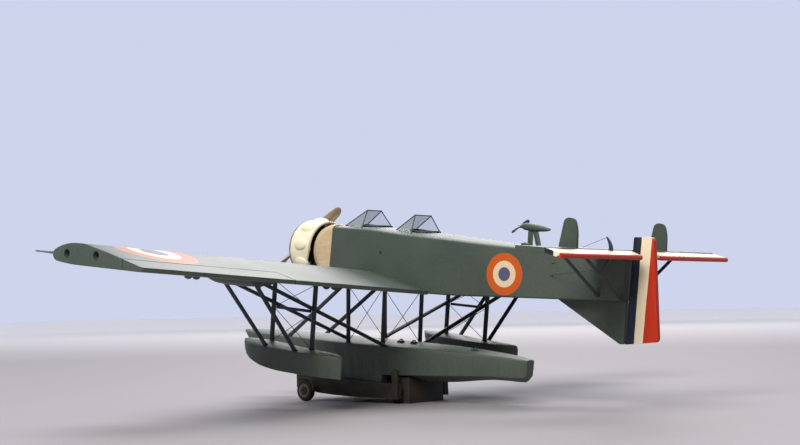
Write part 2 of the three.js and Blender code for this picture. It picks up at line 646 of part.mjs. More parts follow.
// Struts from the tailplane down to the fuselage's lower edge
const fuselageHalfWidth = (x) => {
  const next = FUSELAGE_STATIONS.findIndex(([stationX]) => stationX <= x);
  const [x0, w0] = FUSELAGE_STATIONS[next - 1];
  const [x1, w1] = FUSELAGE_STATIONS[next];
  return w0 + (w1 - w0) * (x0 - x) / (x0 - x1);
};
const onFuselageSide = ({ x, y }) => y - fuselageHalfWidth(Math.max(x, STERNPOST_X)) - 0.08;
const underTail = ({ z }) => z - TAIL_BOTTOM_Z + SEAT;
const TAIL_BRACES = [
  // name, foot, head
  ['tail_brace_front', [-44.9, 3.1, 29.8], [-45.2, 17.5, 38.2]],
  ['tail_brace_rear', [-49.35, 2.1, 29.75], [-49.9, 17.4, 38.2]],
];
for (const [name, foot, head] of TAIL_BRACES) {
  addPair(name, strut(foot, head, onFuselageSide, underTail, 0.9, 0.5), paint.slate);
}

// Windscreens: a slanted front pane and two side panes that flare out beside the cockpit
const PANE_THICKNESS = 0.3;
const PANE_SLANT_THICKNESS = 0.45;
function windscreen([frontX, frontY, frontZ], [topX, topY, topZ], [rearX, rearY, rearZ]) {
  const outside = [[frontX, frontY, frontZ], [topX, topY, topZ], [rearX, rearY, rearZ]];
  const inside = outside.map(([x, y, z]) => [x - 0.7 * PANE_THICKNESS, y - PANE_THICKNESS, z]);
  const side = loft([outside, inside]);
  const pane = (shift) => [
    [frontX - shift, frontY, frontZ], [frontX - shift, -frontY, frontZ],
    [topX - shift, -topY, topZ], [topX - shift, topY, topZ],
  ];
  return join(loft([pane(0), pane(PANE_SLANT_THICKNESS)]), side, mirrored(side));
}
// corners: foot of the front pane, its top, and the aft foot of the side pane
addParked('windscreen_front', windscreen([23.1, 3.0, 40.31], [17.6, 2.17, 44.0], [16.1, 4.7, 40.02]), paint.pane);
addParked('windscreen_rear', windscreen([7.8, 3.3, 39.99], [3.1, 2.63, 43.55], [1.6, 4.6, 39.41]), paint.pane);

// Wind-driven generator on its two legs behind the rear cockpit
const POD_Z = 42.45;
const pod = turnedAlongX([[-23.1, 0], [-23.2, 0.5], [-24.2, 0.72], [-28.6, 0.7], [-30.2, 0.45], [-30.9, 0]], POD_Z, 16);
const LEG_CORNERS = [[-0.35, -0.2], [0.35, -0.2], [0.35, 0.2], [-0.35, 0.2]];
const LEG_FOOT_Z = 38.91;
const generatorLeg = (topX, footX) => loft([
  LEG_CORNERS.map(([dx, dy]) => [footX + dx, dy, LEG_FOOT_Z]),
  LEG_CORNERS.map(([dx, dy]) => [topX + dx, dy, POD_Z]),
]);
addParked('generator', join(pod, generatorLeg(-26.1, -26.2), generatorLeg(-26.9, -28.2)), paint.slate);
const generatorPropeller = twoBladed(3.45,
  [[-22.95, 0], [-22.95, 0.32], [-22.3, 0.28], [-22.05, 0]],
  [0.3, 0.75, 0.3], -22.6, POD_Z, Math.PI / 2 - 24 * Math.PI / 180);
addParked('generator_propeller', generatorPropeller, paint.propeller);

// Dolly, laid out over the floor

const hull = park(mainFloat);
const clearOfHull = (geometry) => cut(geometry,
  hull.clone().translate(0, 0, -0.08), hull.clone().scale(1, 1.01, 1));

function mudguard() {
  const shape = new THREE.Shape();
  const inner = DOLLY_WHEEL_RADIUS + 0.3;
  const outer = inner + 0.35;
  const start = 0.38 * Math.PI;
  const end = Math.PI;
  shape.absarc(DOLLY_AXLE_X, DOLLY_WHEEL_RADIUS, outer, start, end, false);
  shape.absarc(DOLLY_AXLE_X, DOLLY_WHEEL_RADIUS, inner, end, start, true);
  return plate(shape, PLANK_OUTER_Y - 0.1, DOLLY_WHEEL_Y + DOLLY_WHEEL_WIDTH / 2, 14);
}

const plank = plate([
  [1.6, 1.05], [1.6, 4.3], [6, 4.45], [19, 5.24], [26, 6.1], [31.75, 6.3],
  [31.75, 3.0], [26, 1.9], [22, 1.55], [16, 1.25], [4.6, 1.1],
], PLANK_INNER_Y, PLANK_OUTER_Y);
const FRAME_CROSSES = [
  // x from, x to, z from, z to
  [31.7, 32.6, 3.0, 7.2],
  [17.2, 19.6, 1.6, 5.2],
  [BLOCK_FRONT_X + 0.1, 7.4, 1.3, 4.2],
];
const crosses = FRAME_CROSSES.map(([x0, x1, z0, z1]) => box(x0, x1, -PLANK_OUTER_Y, PLANK_OUTER_Y, z0, z1));
const axle = turnedAlongY([
  [-DOLLY_WHEEL_Y - 0.5, 0], [-DOLLY_WHEEL_Y - 0.5, DOLLY_AXLE_RADIUS],
  [DOLLY_WHEEL_Y + 0.5, DOLLY_AXLE_RADIUS], [DOLLY_WHEEL_Y + 0.5, 0],
], DOLLY_AXLE_X, DOLLY_WHEEL_RADIUS, 20);
add('dolly_frame', clearOfHull(join(plank, mirrored(plank), ...crosses, axle, mudguard(), mirrored(mudguard()))), paint.dolly);

add('dolly_rear_block',
  clearOfHull(box(BLOCK_REAR_X, BLOCK_FRONT_X, -BLOCK_HALF_WIDTH, BLOCK_HALF_WIDTH, 0, BLOCK_HEIGHT)), paint.dolly);

const chock = plate(roundTopped(1.6, 3.2, 1.0, 7.4, 2.4, 0.78), PLANK_OUTER_Y + SEAT, PLANK_OUTER_Y + 0.8);
add('dolly_chock_port', chock, paint.dolly);
add('dolly_chock_starboard', mirrored(chock), paint.dolly);

const halfWidth = DOLLY_WHEEL_WIDTH / 2;
const wheel = turnedAlongY([
  [-halfWidth, DOLLY_AXLE_RADIUS + 0.12], [-halfWidth, DOLLY_WHEEL_RADIUS - 0.45],
  [-halfWidth + 0.15, DOLLY_WHEEL_RADIUS - 0.12], [-halfWidth + 0.4, DOLLY_WHEEL_RADIUS],
  [halfWidth - 0.4, DOLLY_WHEEL_RADIUS], [halfWidth - 0.15, DOLLY_WHEEL_RADIUS - 0.12],
  [halfWidth, DOLLY_WHEEL_RADIUS - 0.45], [halfWidth, DOLLY_AXLE_RADIUS + 0.12],
  [-halfWidth, DOLLY_AXLE_RADIUS + 0.12],
], DOLLY_AXLE_X, DOLLY_WHEEL_RADIUS, 36);
add('dolly_wheel_port', wheel.clone().translate(0, DOLLY_WHEEL_Y, 0), paint.tyre);
add('dolly_wheel_starboard', wheel.clone().translate(0, -DOLLY_WHEEL_Y, 0), paint.tyre);

export default group;
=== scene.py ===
"""A scale model of a strut-braced two-seat float monoplane, parked on its beaching dolly.

The aeroplane is laid out in its own datum: millimetres, +X to the nose, +Y to port, +Z up.
The dolly is laid out over the floor in the same units and directions.
"""

from functools import partialmethod

import bmesh
import bpy
import numpy as np
from mathutils import Matrix


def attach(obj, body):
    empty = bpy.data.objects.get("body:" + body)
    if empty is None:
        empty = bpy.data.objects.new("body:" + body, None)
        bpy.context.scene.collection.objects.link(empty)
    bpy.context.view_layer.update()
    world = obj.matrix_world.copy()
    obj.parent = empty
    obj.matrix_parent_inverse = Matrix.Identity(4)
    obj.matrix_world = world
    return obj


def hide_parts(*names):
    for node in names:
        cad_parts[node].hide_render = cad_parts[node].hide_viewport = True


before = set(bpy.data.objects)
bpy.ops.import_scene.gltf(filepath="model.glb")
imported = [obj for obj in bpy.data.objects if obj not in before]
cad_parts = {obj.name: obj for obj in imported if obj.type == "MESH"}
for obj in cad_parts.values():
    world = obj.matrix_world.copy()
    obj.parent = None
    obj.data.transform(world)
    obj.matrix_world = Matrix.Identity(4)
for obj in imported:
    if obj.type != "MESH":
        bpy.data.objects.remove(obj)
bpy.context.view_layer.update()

MM = 0.001
PARK_PITCH = np.radians(6.0)
PARK_X = 2.0
WHEEL_DATUM_X = 26.9
PARK_DROP = WHEEL_DATUM_X * np.sin(PARK_PITCH)
MERGE = 2e-6

# Camera, at the height of the dolly behind the port float
CAMERA_PLACE = (-0.19146, 0.23229, 0.02071)
CAMERA_RIGHT = (-0.75878, -0.65104, -0.02017)
CAMERA_UP = (-0.05547, 0.03374, 0.99789)
CAMERA_FORWARD = (0.64899, -0.75829, 0.06172)
CAMERA_LENS = 61.74


def linked(name, data):
    """A new object in the scene."""
    thing = bpy.data.objects.new(name, data)
    bpy.context.scene.collection.objects.link(thing)
    return thing


def posed(thing, right, up, backward, place):
    """Puts an object in its place with the directions of its own right, up and back."""
    thing.matrix_world = Matrix.Translation(place) @ Matrix([right, up, backward]).transposed().to_4x4()


def set_camera():
    """The camera that took the photo, fitted to the wing tips, nose, tail and struts."""
    lens = bpy.data.cameras.new("camera")
    lens.lens = CAMERA_LENS
    lens.sensor_width = 36.0
    lens.clip_start = 0.01
    camera = linked("camera", lens)
    posed(camera, CAMERA_RIGHT, CAMERA_UP, [-value for value in CAMERA_FORWARD], CAMERA_PLACE)
    bpy.context.scene.camera = camera


set_camera()

# Wing
HALF_SPAN = 83.3
CHORD = 25.9
WING_TE_X = -4.6
WING_TE_Z = 27.1
WING_TIP_TE_Z = 31.41
FUSELAGE_HALF_WIDTH = 6.5
WING_RISE = (WING_TIP_TE_Z - WING_TE_Z) / (HALF_SPAN - FUSELAGE_HALF_WIDTH)
AILERON_INNER_Y = 46.0
AILERON_HINGE_X = 1.1
AILERON_GAP = 0.28
WING_UNDER_Z = -0.43
FAIRING_BOTTOM_Z = 27.4
FAIRING_X = 12.25
FAIRING_HALF_LENGTH = 7.1
FAIRING_INNER_Y = 40.9
FAIRING_OUTER_Y = 48.5

# Fuselage
FUSELAGE_BOTTOM_Z = 26.85
FUSELAGE_EDGE_RADIUS = 0.45
BULKHEAD_X = 24.6
BULKHEAD_LEAN = 0.034
LEAN_FROM_X = 20
NOSE_FRONT_X = 30.9
NOSE_HALF_HEIGHT = 6.72
NOSE_MIDDLE_Z = 33.52
DECK_Z = 37.0
FUSELAGE_STATIONS = [
    # x, half width, edge height, crown height, bottom height
    [24.6, 6.5, 39.75, 40.3, 26.85],
    [14, 6.5, 39.7, 40.42, 26.85],
    [4, 6.5, 39.2, 40.05, 26.85],
    [-7, 6.42, 38.8, 39.7, 26.95],
    [-25, 5.85, 38.2, 38.75, 27.85],
    [-42, 3.6, 38.05, 38.2, 28.75],
    [-50, 1.9, 38.0, 38.05, 29.2],
]
# Cockpits: centre x, half length, half width
COCKPITS = [[16.3, 3.1, 3.2], [2.2, 3.1, 3.2]]
WELL_FLOOR_Z = 32.5
WELL_TOP_Z = 44

# Engine and cowl
THRUST_Z = 34.2
COWL_FRONT_X = 38.3
COWL_REAR_X = 31.1
COWL_RADIUS = 6.63
COWL_WALL = 0.5
COWL_MIDDLE_X = 34
COWL_CUT = 1.4
CYLINDERS = 9
CYLINDER_X = 34.2
PROP_X = 40.8
PROP_RADIUS = 16.7
PROP_ANGLE = np.radians(54.0)

# Floats
FLOAT_TOP_Z = 16.2
WATERLINE_Z = 12.5
FLOAT_EDGE_RADIUS = 0.18
MAIN_FLOAT_FORE = [
    # x, half beam, edge height, crown height, chine half width, chine height, keel height
    [57.1, 0.5, 12.9, 13.1, 0.35, 12.4, 12.1],
    [55, 1.9, 12.9, 13.35, 1.4, 11.3, 10.4],
    [51, 3.5, 12.95, 13.65, 2.9, 10.1, 8.6],
    [45, 5.1, 13.2, 14.1, 4.5, 8.6, 6.6],
    [34, 6.7, 13.6, 14.6, 6.3, 7.2, 5.1],
    [20, 7.2, 14.0, 15.1, 6.9, 6.4, 4.6],
    [6.6, 7.2, 14.5, 15.5, 6.9, 6.2, 4.3],
]
MAIN_FLOAT_AFT = [
    [6.4, 7.2, 14.5, 15.5, 6.88, 8.3, 6.5],
    [-8, 6.2, 15.1, 15.85, 5.9, 9.8, 8.15],
    [-20, 3.9, 15.25, 15.75, 3.6, 11.0, 10.05],
    [-27.4, 1.5, 15.1, 15.25, 1.35, 11.5, 10.5],
    [-27.8, 1.3, 15.0, 15.15, 1.1, 11.8, 11.0],
]
OUTER_FLOAT_Y = 30.1
OUTER_FLOAT = [
    [25.1, 0.35, 15.0, 15.2, 0.25, 14.6, 14.3],
    [24.5, 1.2, 14.85, 15.25, 0.9, 13.5, 12.9],
    [23.2, 2.1, 14.7, 15.35, 1.7, 12.2, 11.6],
    [20.5, 3.0, 14.55, 15.4, 2.6, 11.1, 10.6],
    [16, 3.6, 14.4, 15.25, 3.3, 10.2, 9.85],
    [10.9, 3.75, 14.3, 14.9, 3.45, 9.85, 9.55],
    [6.5, 3.65, 14.25, 14.65, 3.35, 9.8, 9.5],
    [1.5, 2.9, 14.2, 14.55, 2.65, 9.75, 9.5],
    [-1.2, 1.5, 14.15, 14.45, 1.3, 9.7, 9.5],
    [-2.6, 0.5, 14.0, 14.25, 0.4, 9.65, 9.45],
    [-2.9, 0.2, 13.5, 13.6, 0.15, 9.7, 9.5],
]

# Struts
FLOAT_STRUT_Y = 29.4
SPREADER_Z = 22.45
SPREADER_RADIUS = 0.32
# Over the main float's deck, the wing fairing's underside and the trailing edge's height
UPRIGHT_SEAT = 0.95
FAIRING_SEAT = 0.5
WING_SEAT = -0.4
STRUTS = [
    # name, foot x, foot y, head x, head y, foot seat, head seat, chord, width
    ["fuselage_strut_front", 17.5, 6.2, 18.5, 6.2, "main", "fuselage", 1.1, 0.72],
    ["fuselage_strut_rear", 7.15, 6.35, 7.45, 6.35, "main", "fuselage", 1.1, 0.72],
    ["nose_strut", 36.4, 6.1, 20.0, 6.25, "main", "fuselage", 0.95, 0.7],
    ["wing_strut_front", 17.5, 6.65, 17.3, 42.6, "upright", "fairing", 1.3, 0.75],
    ["wing_strut_rear", 6.2, 6.65, 7.0, 42.6, "main", "fairing", 1.3, 0.75],
    ["float_strut_front", 18.1, FLOAT_STRUT_Y, 18.1, FLOAT_STRUT_Y, "outer", "wing", 1.2, 0.72],
    ["float_strut_rear", 6.3, FLOAT_STRUT_Y, 6.15, FLOAT_STRUT_Y, "outer", "wing", 1.2, 0.72],
    ["float_brace_front", 16.4, 32.9, 16.2, 45.4, "outer", "fairing", 1.1, 0.72],
    ["float_brace_rear", 7.7, 32.9, 7.0, 45.4, "outer", "fairing", 1.1, 0.72],
]

# Tail
TAIL_HALF_SPAN = 31.1
TAIL_LE_X = -44.2
ELEVATOR_HINGE_X = -51.2
TAIL_TE_X = -54.87
TAIL_BOTTOM_Z = 38.25
TAIL_TOP_Z = 39.2
AUX_FIN_Y = 16.5
HORN_Y = 10.2
ELEVATOR_GAP = 0.12
ELEVATOR_INNER_Y = 2.1
ELEVATOR_MIDDLE_Z = 38.65
ELEVATOR_HALF_DEPTH = 0.45
ELEVATOR_DROOP = 0.71
ELEVATOR_EDGE = 0.35
RUDDER_HINGE_X = -50.25
RUDDER_FOOT_Z = 20.75
# Half thicknesses
AUX_FIN_HALF = 0.35
VENTRAL_FIN_HALF = 0.6
RUDDER_HALF = 0.55
HORN_HALF = 0.2
STERNPOST_X = -50.0

# Generator
POD_Z = 42.45
POD_PROP_X = -23.3
POD_PROP_RADIUS = 3.3
POD_SLOPE = 0.055
POD_PROP_ANGLE = np.radians(66.0)

# Dolly, over the floor
WHEEL_RADIUS = 2.4
WHEEL_WIDTH = 1.4
WHEEL_Y = 9.3
AXLE_X = 28.4
NUT_CIRCLE = 1.1


# Surfaces

def parked(points):
    """Aeroplane datum to the scene, pitched nose up: x = X cos p - Z sin p + 2 and
    z = X sin p + Z cos p - drop."""
    cos, sin = np.cos(PARK_PITCH), np.sin(PARK_PITCH)
    x = points[:, 0] * cos - points[:, 2] * sin + PARK_X
    z = points[:, 0] * sin + points[:, 2] * cos - PARK_DROP
    return np.stack([x, points[:, 1], z], axis=-1) * MM


def on_floor(points):
    """Millimetres over the floor to the scene's metres."""
    return points * MM


def grid_of(x, y, z):
    """Rows and columns of points, with each coordinate spread over the whole grid."""
    return np.stack(np.broadcast_arrays(x, y, z), axis=-1)


def skin(grid, around=True, capped=True):
    """Quads between the neighbours of a rows x columns grid of points.
    With `around` the last column meets the first; with `capped` the first and last rows are filled."""
    rows, columns = grid.shape[:2]
    index = np.arange(rows * columns).reshape(rows, columns)
    here = index if around else index[:, :-1]
    beside = np.roll(index, -1, axis=1) if around else index[:, 1:]
    faces = np.stack([here[:-1], beside[:-1], beside[1:], here[1:]], axis=-1).reshape(-1, 4).tolist()
    if around and capped:
        faces += [index[0, ::-1].tolist(), index[-1].tolist()]
    return grid.reshape(-1, 3), faces


def through(stations, places):
    """A smooth curve through a table's rows: cubic Hermite pieces, whose slope at a row is the harmonic
    mean of the chords on its two sides, or nothing where they turn back, so that it never overshoots."""
    table = np.asarray(stations, float)
    table = table[np.argsort(table[:, 0])]
    x, y = table[:, 0], table[:, 1:]
    chord = np.diff(y, axis=0) / np.diff(x)[:, None]
    before, after = chord[:-1], chord[1:]
    total = np.where(before * after > 0, before + after, 1.0)
    inner = np.where(before * after > 0, 2 * before * after / total, 0.0)
    slope = np.vstack([chord[:1], inner, chord[-1:]])
    i = np.clip(np.searchsorted(x, places, side="right") - 1, 0, len(x) - 2)
    width = (x[i + 1] - x[i])[:, None]
    t = (places[:, None] - x[i][:, None]) / width
    start = (1 + 2 * t) * (1 - t) ** 2 * y[i] + t * (1 - t) ** 2 * width * slope[i]
    return start + t * t * (3 - 2 * t) * y[i + 1] + t * t * (t - 1) * width * slope[i + 1]


def turned(profile, centre, along="x", steps=64):
    """A profile of (place along the axis, radius) turned once round the axis through centre."""
    profile = np.asarray(profile, float)
    turn = np.linspace(0, 2 * np.pi, steps, endpoint=False)
    place, across, rise = profile[:, :1], profile[:, 1:] * np.cos(turn), profile[:, 1:] * np.sin(turn)
    order = {"x": (place, across, rise), "y": (across, place, rise), "z": (across, rise, place)}[along]
    return skin(grid_of(*order) + np.asarray(centre, float), capped=False)


def ring_of(radius, steps=12):
    """A circle as (sideways, upwards) columns."""
    turn = np.linspace(0, 2 * np.pi, steps, endpoint=False)
    return radius * np.stack([np.cos(turn), np.sin(turn)], axis=-1)


def streamline(chord, width, steps=28):
    """Strut section, nose forward: x = c/2 cos t, y = w/2 sin t (1 + cos t / 3)."""
    turn = np.linspace(0, 2 * np.pi, steps, endpoint=False)
    return np.stack([chord / 2 * np.cos(turn), width / 2 * np.sin(turn) * (1 + np.cos(turn) / 3)], axis=-1)


def carried(path, section, facing=(1, 0, 0), closed=False):
    """A section carried along a path. Its first column lies along `facing`, squared to the path, and its
    second along path x first."""
    path = np.asarray(path, float)
    if closed:
        along = np.roll(path, -1, axis=0) - np.roll(path, 1, axis=0)
    else:
        along = np.gradient(path, axis=0)
    along /= np.linalg.norm(along, axis=1, keepdims=True)
    facing = np.asarray(facing, float)
    first = facing - along * (along @ facing)[:, None]
    first /= np.linalg.norm(first, axis=1, keepdims=True)
    second = np.cross(along, first)
    grid = path[:, None] + (first[:, None] * section[:, :1] + second[:, None] * section[:, 1:])
    if closed:
        grid = np.concatenate([grid, grid[:1]])
    return skin(grid, capped=not closed)


def rod(start, end, radius, steps=10):
    """A straight round bar between two points."""
    path = np.linspace(start, end, 2)
    way = path[1] - path[0]
    facing = (0, 1, 0) if abs(way[1]) < 0.9 * np.linalg.norm(way) else (1, 0, 0)
    return carried(path, ring_of(radius, steps), facing)


def slab(outline, low, high, along="y"):
    """A flat outline carried straight from low to high: (x, z) along y, or (x, y) along z."""
    column = {"y": 1, "z": 2}[along]
    outline = np.asarray(outline, float)
    return skin(np.stack([np.insert(outline, column, level, axis=1) for level in (low, high)]))


def dome(centre, reach, steps=28, rings=14):
    """An ellipsoid: centre + reach * (cos a cos b, sin a cos b, sin b)."""
    rise = np.linspace(-np.pi / 2, np.pi / 2, rings)[:, None]
    turn = np.linspace(0, 2 * np.pi, steps, endpoint=False)
    unit = grid_of(np.cos(rise) * np.cos(turn), np.cos(rise) * np.sin(turn), np.sin(rise))
    return skin(unit * np.asarray(reach, float) + np.asarray(centre, float), capped=False)


def stud_ring(x, radius, count, reach, steps=8):
    """Small domes in a ring about the thrust line."""
    angles = np.arange(count) * 2 * np.pi / count
    return [dome((x, radius * np.cos(a), THRUST_Z + radius * np.sin(a)), reach, steps, 6) for a in angles]


def rolled(part, turn, about_z=0.0):
    """A part turned about the line y = 0, z = about_z."""
    points, faces = part
    cos, sin = np.cos(turn), np.sin(turn)
    y, z = points[:, 1], points[:, 2] - about_z
    return np.stack([points[:, 0], y * cos - z * sin, y * sin + z * cos + about_z], axis=-1), faces


def mirrored(parts):
    """The same parts on the starboard side."""
    return [(points * (1, -1, 1), faces) for points, faces in parts]


def mend(mesh, flat=None):
    """Merges a mesh's seams, joins faces that meet within `flat` degrees and turns all outwards."""
    shell = bmesh.new()
    shell.from_mesh(mesh)
    bmesh.ops.remove_doubles(shell, verts=shell.verts, dist=MERGE)
    if flat:
        bmesh.ops.dissolve_limit(shell, angle_limit=np.radians(flat), verts=shell.verts, edges=shell.edges)
    bmesh.ops.recalc_face_normals(shell, faces=shell.faces)
    shell.to_mesh(mesh)
    shell.free()


def mesh_of(name, parts, place):
    """Joins parts into one closed mesh."""
    points = np.concatenate([part[0] for part in parts])
    starts = np.cumsum([0] + [len(part[0]) for part in parts])
    faces = []
    for part, start in zip(parts, starts):
        faces += [[corner + int(start) for corner in face] for face in part[1]]
    mesh = bpy.data.meshes.new(name)
    mesh.from_pydata(place(points).tolist(), [], faces)
    mend(mesh)
    return mesh


def paint_over(piece, finish):
    piece.data.materials.clear()
    piece.data.materials.append(finish)
    piece.data.shade_smooth()


def ease_edges(piece, width, segments, crease):
    """Rounds the edges that turn by more than `crease` degrees, `width` mm wide."""
    ease = piece.modifiers.new("eased edges", "BEVEL")
    ease.width = width * MM
    ease.segments = segments
    ease.limit_method = "ANGLE"
    ease.angle_limit = np.radians(crease)
    ease.harden_normals = True


def make(name, parts, finish, body="model", slot="airframe_paint", replaces=(), place=parked, holes=(),
         crease=32.0, rounding=0.0):
    """A piece of the model that rides on a body. `holes` are parts cut out of it, `crease` is the angle
    in degrees past which an edge stays sharp, and `rounding` is the width in mm of its eased edges."""
    piece = linked(name, mesh_of(name, parts, place))
    cutters = [linked("cutter", mesh_of("cutter", [hole], place)) for hole in holes]
    for cutter in cutters:
        tool = piece.modifiers.new("hole", "BOOLEAN")
        tool.operation = "DIFFERENCE"
        tool.solver = "EXACT"
        tool.object = cutter
    if cutters:
        graph = bpy.context.evaluated_depsgraph_get()
        cut_mesh = bpy.data.meshes.new_from_object(piece.evaluated_get(graph))
        piece.modifiers.clear()
        piece.data = cut_mesh
    for cutter in cutters:
        bpy.data.objects.remove(cutter)
    paint_over(piece, finish)
    if rounding:
        ease_edges(piece, rounding, 3, crease)
    else:
        piece.data.set_sharp_from_angle(angle=np.radians(crease))
    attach(piece, body)
    if replaces:
        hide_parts(*replaces)
    return piece


def make_pair(name, parts, finish, node=None, holes=(), **settings):
    """The same piece to port and, mirrored, to starboard."""
    sides = {"port": (parts, holes), "starboard": (mirrored(parts), mirrored(holes))}
    for side, (side_parts, side_holes) in sides.items():
        nodes = [f"{node}_{side}"] if node else []
        make(f"{name}_{side}", side_parts, finish, replaces=nodes, holes=side_holes, **settings)


# Materials

class Value:
    """A number in a material. An expression on it adds its Math nodes."""

    def __init__(self, finish, socket):
        self.finish = finish
        self.socket = socket

    def math(self, operation, *others, clamp=False):
        node = self.finish.node("ShaderNodeMath", {"operation": operation, "use_clamp": clamp},
                                dict(enumerate((self, *others))))
        return Value(self.finish, node.outputs[0])

    __add__ = __radd__ = partialmethod(math, "ADD")
    __sub__ = partialmethod(math, "SUBTRACT")
    __mul__ = __rmul__ = partialmethod(math, "MULTIPLY")
    __truediv__ = partialmethod(math, "DIVIDE")
    __pow__ = partialmethod(math, "POWER")
    size = partialmethod(math, "ABSOLUTE")
    root = partialmethod(math, "SQRT")

    def __rsub__(self, other):
        return self * -1.0 + other

    def past(self, edge, softness=0.06):
        """0 below the edge and 1 above it, with a soft step of the given width."""
        return ((self - edge) / softness).math("ADD", 0.5, clamp=True)

    def within(self, low, high, softness=0.06):
        return self.past(low, softness) * (1 - self.past(high, softness))


class Nodes:
    """A node tree under construction."""

    def __init__(self, tree):
        self.tree = tree

    def node(self, kind, settings=None, inputs=None):
        """Adds a node, sets its properties and then fills or links its inputs."""
        node = self.tree.nodes.new(kind)
        for key, value in (settings or {}).items():
            setattr(node, key, value)
        for key, value in (inputs or {}).items():
            self.join(value, node.inputs[key])
        return node

    def join(self, value, socket):
        if isinstance(value, Value):
            value = value.socket
        if isinstance(value, bpy.types.NodeSocket):
            self.tree.links.new(value, socket)
        else:
            socket.default_value = value

    def blend(self, share, first, second):
        """Colour `first` where share is 0 and `second` where it is 1."""
        settings = {"data_type": "RGBA", "clamp_factor": True}
        return self.node("ShaderNodeMix", settings, {0: share, 6: first, 7: second}).outputs[2]


class Finish(Nodes):
    """A material under construction, with the aeroplane's own coordinates in mm."""

    def __init__(self, name, **constants):
        self.material = bpy.data.materials.new(name)
        self.material.use_nodes = True
        super().__init__(self.material.node_tree)
        self.shader = self.tree.nodes["Principled BSDF"]
        for socket, value in constants.items():
            self.shader.inputs[socket.replace("_", " ")].default_value = value
        self.place = self.node("ShaderNodeTexCoord").outputs["Object"]

    def axes(self):
        """Object X, Y and Z in mm."""
        node = self.node("ShaderNodeSeparateXYZ", inputs={0: self.place})
        return [Value(self, node.outputs[i]) / MM for i in range(3)]

    def datum(self):
        """X, Y and Z of the aeroplane's datum in mm: the parking pitch taken off again."""
        x, y, z = self.axes()
        x, z = x - PARK_X, z + PARK_DROP
        cos, sin = float(np.cos(PARK_PITCH)), float(np.sin(PARK_PITCH))
        return x * cos + z * sin, y, z * cos - x * sin

    def joined(self, x, y, z):
        return self.node("ShaderNodeCombineXYZ", inputs={0: x, 1: y, 2: z}).outputs[0]

    def noise(self, scale=1.0, detail=3.0, stretch=(1, 1, 1), place=None):
        """Cloudy noise between 0 and 1, with `scale` lumps to the millimetre before stretching."""
        if place is None:
            stretched = self.node("ShaderNodeVectorMath", {"operation": "MULTIPLY"},
                                  {0: self.place, 1: [part / MM for part in stretch]})
            place = stretched.outputs[0]
        node = self.node("ShaderNodeTexNoise", {"noise_dimensions": "3D"},
                         {"Vector": place, "Scale": scale, "Detail": detail, "Roughness": 0.55})
        return Value(self, node.outputs["Fac"])

    def done(self, colour, roughness, bump=None, depth=0.02):
        """Wires up the colour, the roughness and a bump of the given depth in mm."""
        self.join(colour, self.shader.inputs["Base Color"])
        self.join(roughness, self.shader.inputs["Roughness"])
        if bump is not None:
            inputs = {"Height": bump, "Strength": 1.0, "Distance": depth * MM}
            node = self.node("ShaderNodeBump", inputs=inputs)
            self.join(node.outputs[0], self.shader.inputs["Normal"])
        return self.material


def rgb(red, green, blue):
    """A screen colour out of 255 as the linear colour that it stands for."""
    share = np.array([red, green, blue]) / 255
    linear = np.where(share <= 0.04045, share / 12.92, ((share + 0.055) / 1.055) ** 2.4)
    return [*linear.tolist(), 1.0]


def away(first, second):
    """The distance that two sides of a right angle span."""
    return (first ** 2.0 + second ** 2.0).root()


ROUNDEL_DISC = 0.33
ROUNDEL_RING = 0.63
ROUNDEL_RED = rgb(196, 84, 12)
ROUNDEL_CREAM = rgb(220, 200, 164)
ROUNDEL_BLUE = rgb(80, 84, 116)
STRIPE_BLUE = rgb(26, 36, 54)
STRIPE_CREAM = rgb(236, 222, 190)
STRIPE_RED = rgb(188, 42, 5)
# x of the two edges in mm: on the rudder at a height z, with their lean, and on the elevators
RUDDER_STRIPES = {"z": 31.3, "blue": -52.34, "blue_lean": 0.0176, "red": -54.42, "red_lean": 0.0357}
# On the elevators the blue band keeps its full width only near the tips. Inboard it is narrowed and cream
# takes its place, a painted reflection of the sheen on their tops.
ELEVATOR_STRIPES = {"blue": -51.75, "red": -54.3, "tip_y": 30.95, "tip_step": 1.25}
FUSELAGE_ROUNDEL = {"x": -24.1, "z": 32.56, "radius": 4.32}
WING_ROUNDEL = {"x": 9.7, "y": 69.3, "radius": 8.2}


def with_roundel(paint, colour, distance, radius, here):
    """A disc and two rings about a centre, painted over `colour` where `here` is 1."""
    rings = paint.blend(distance.past(radius * ROUNDEL_DISC), ROUNDEL_BLUE, ROUNDEL_CREAM)
    rings = paint.blend(distance.past(radius * ROUNDEL_RING), rings, ROUNDEL_RED)
    return paint.blend((1 - distance.past(radius)) * here, colour, rings)


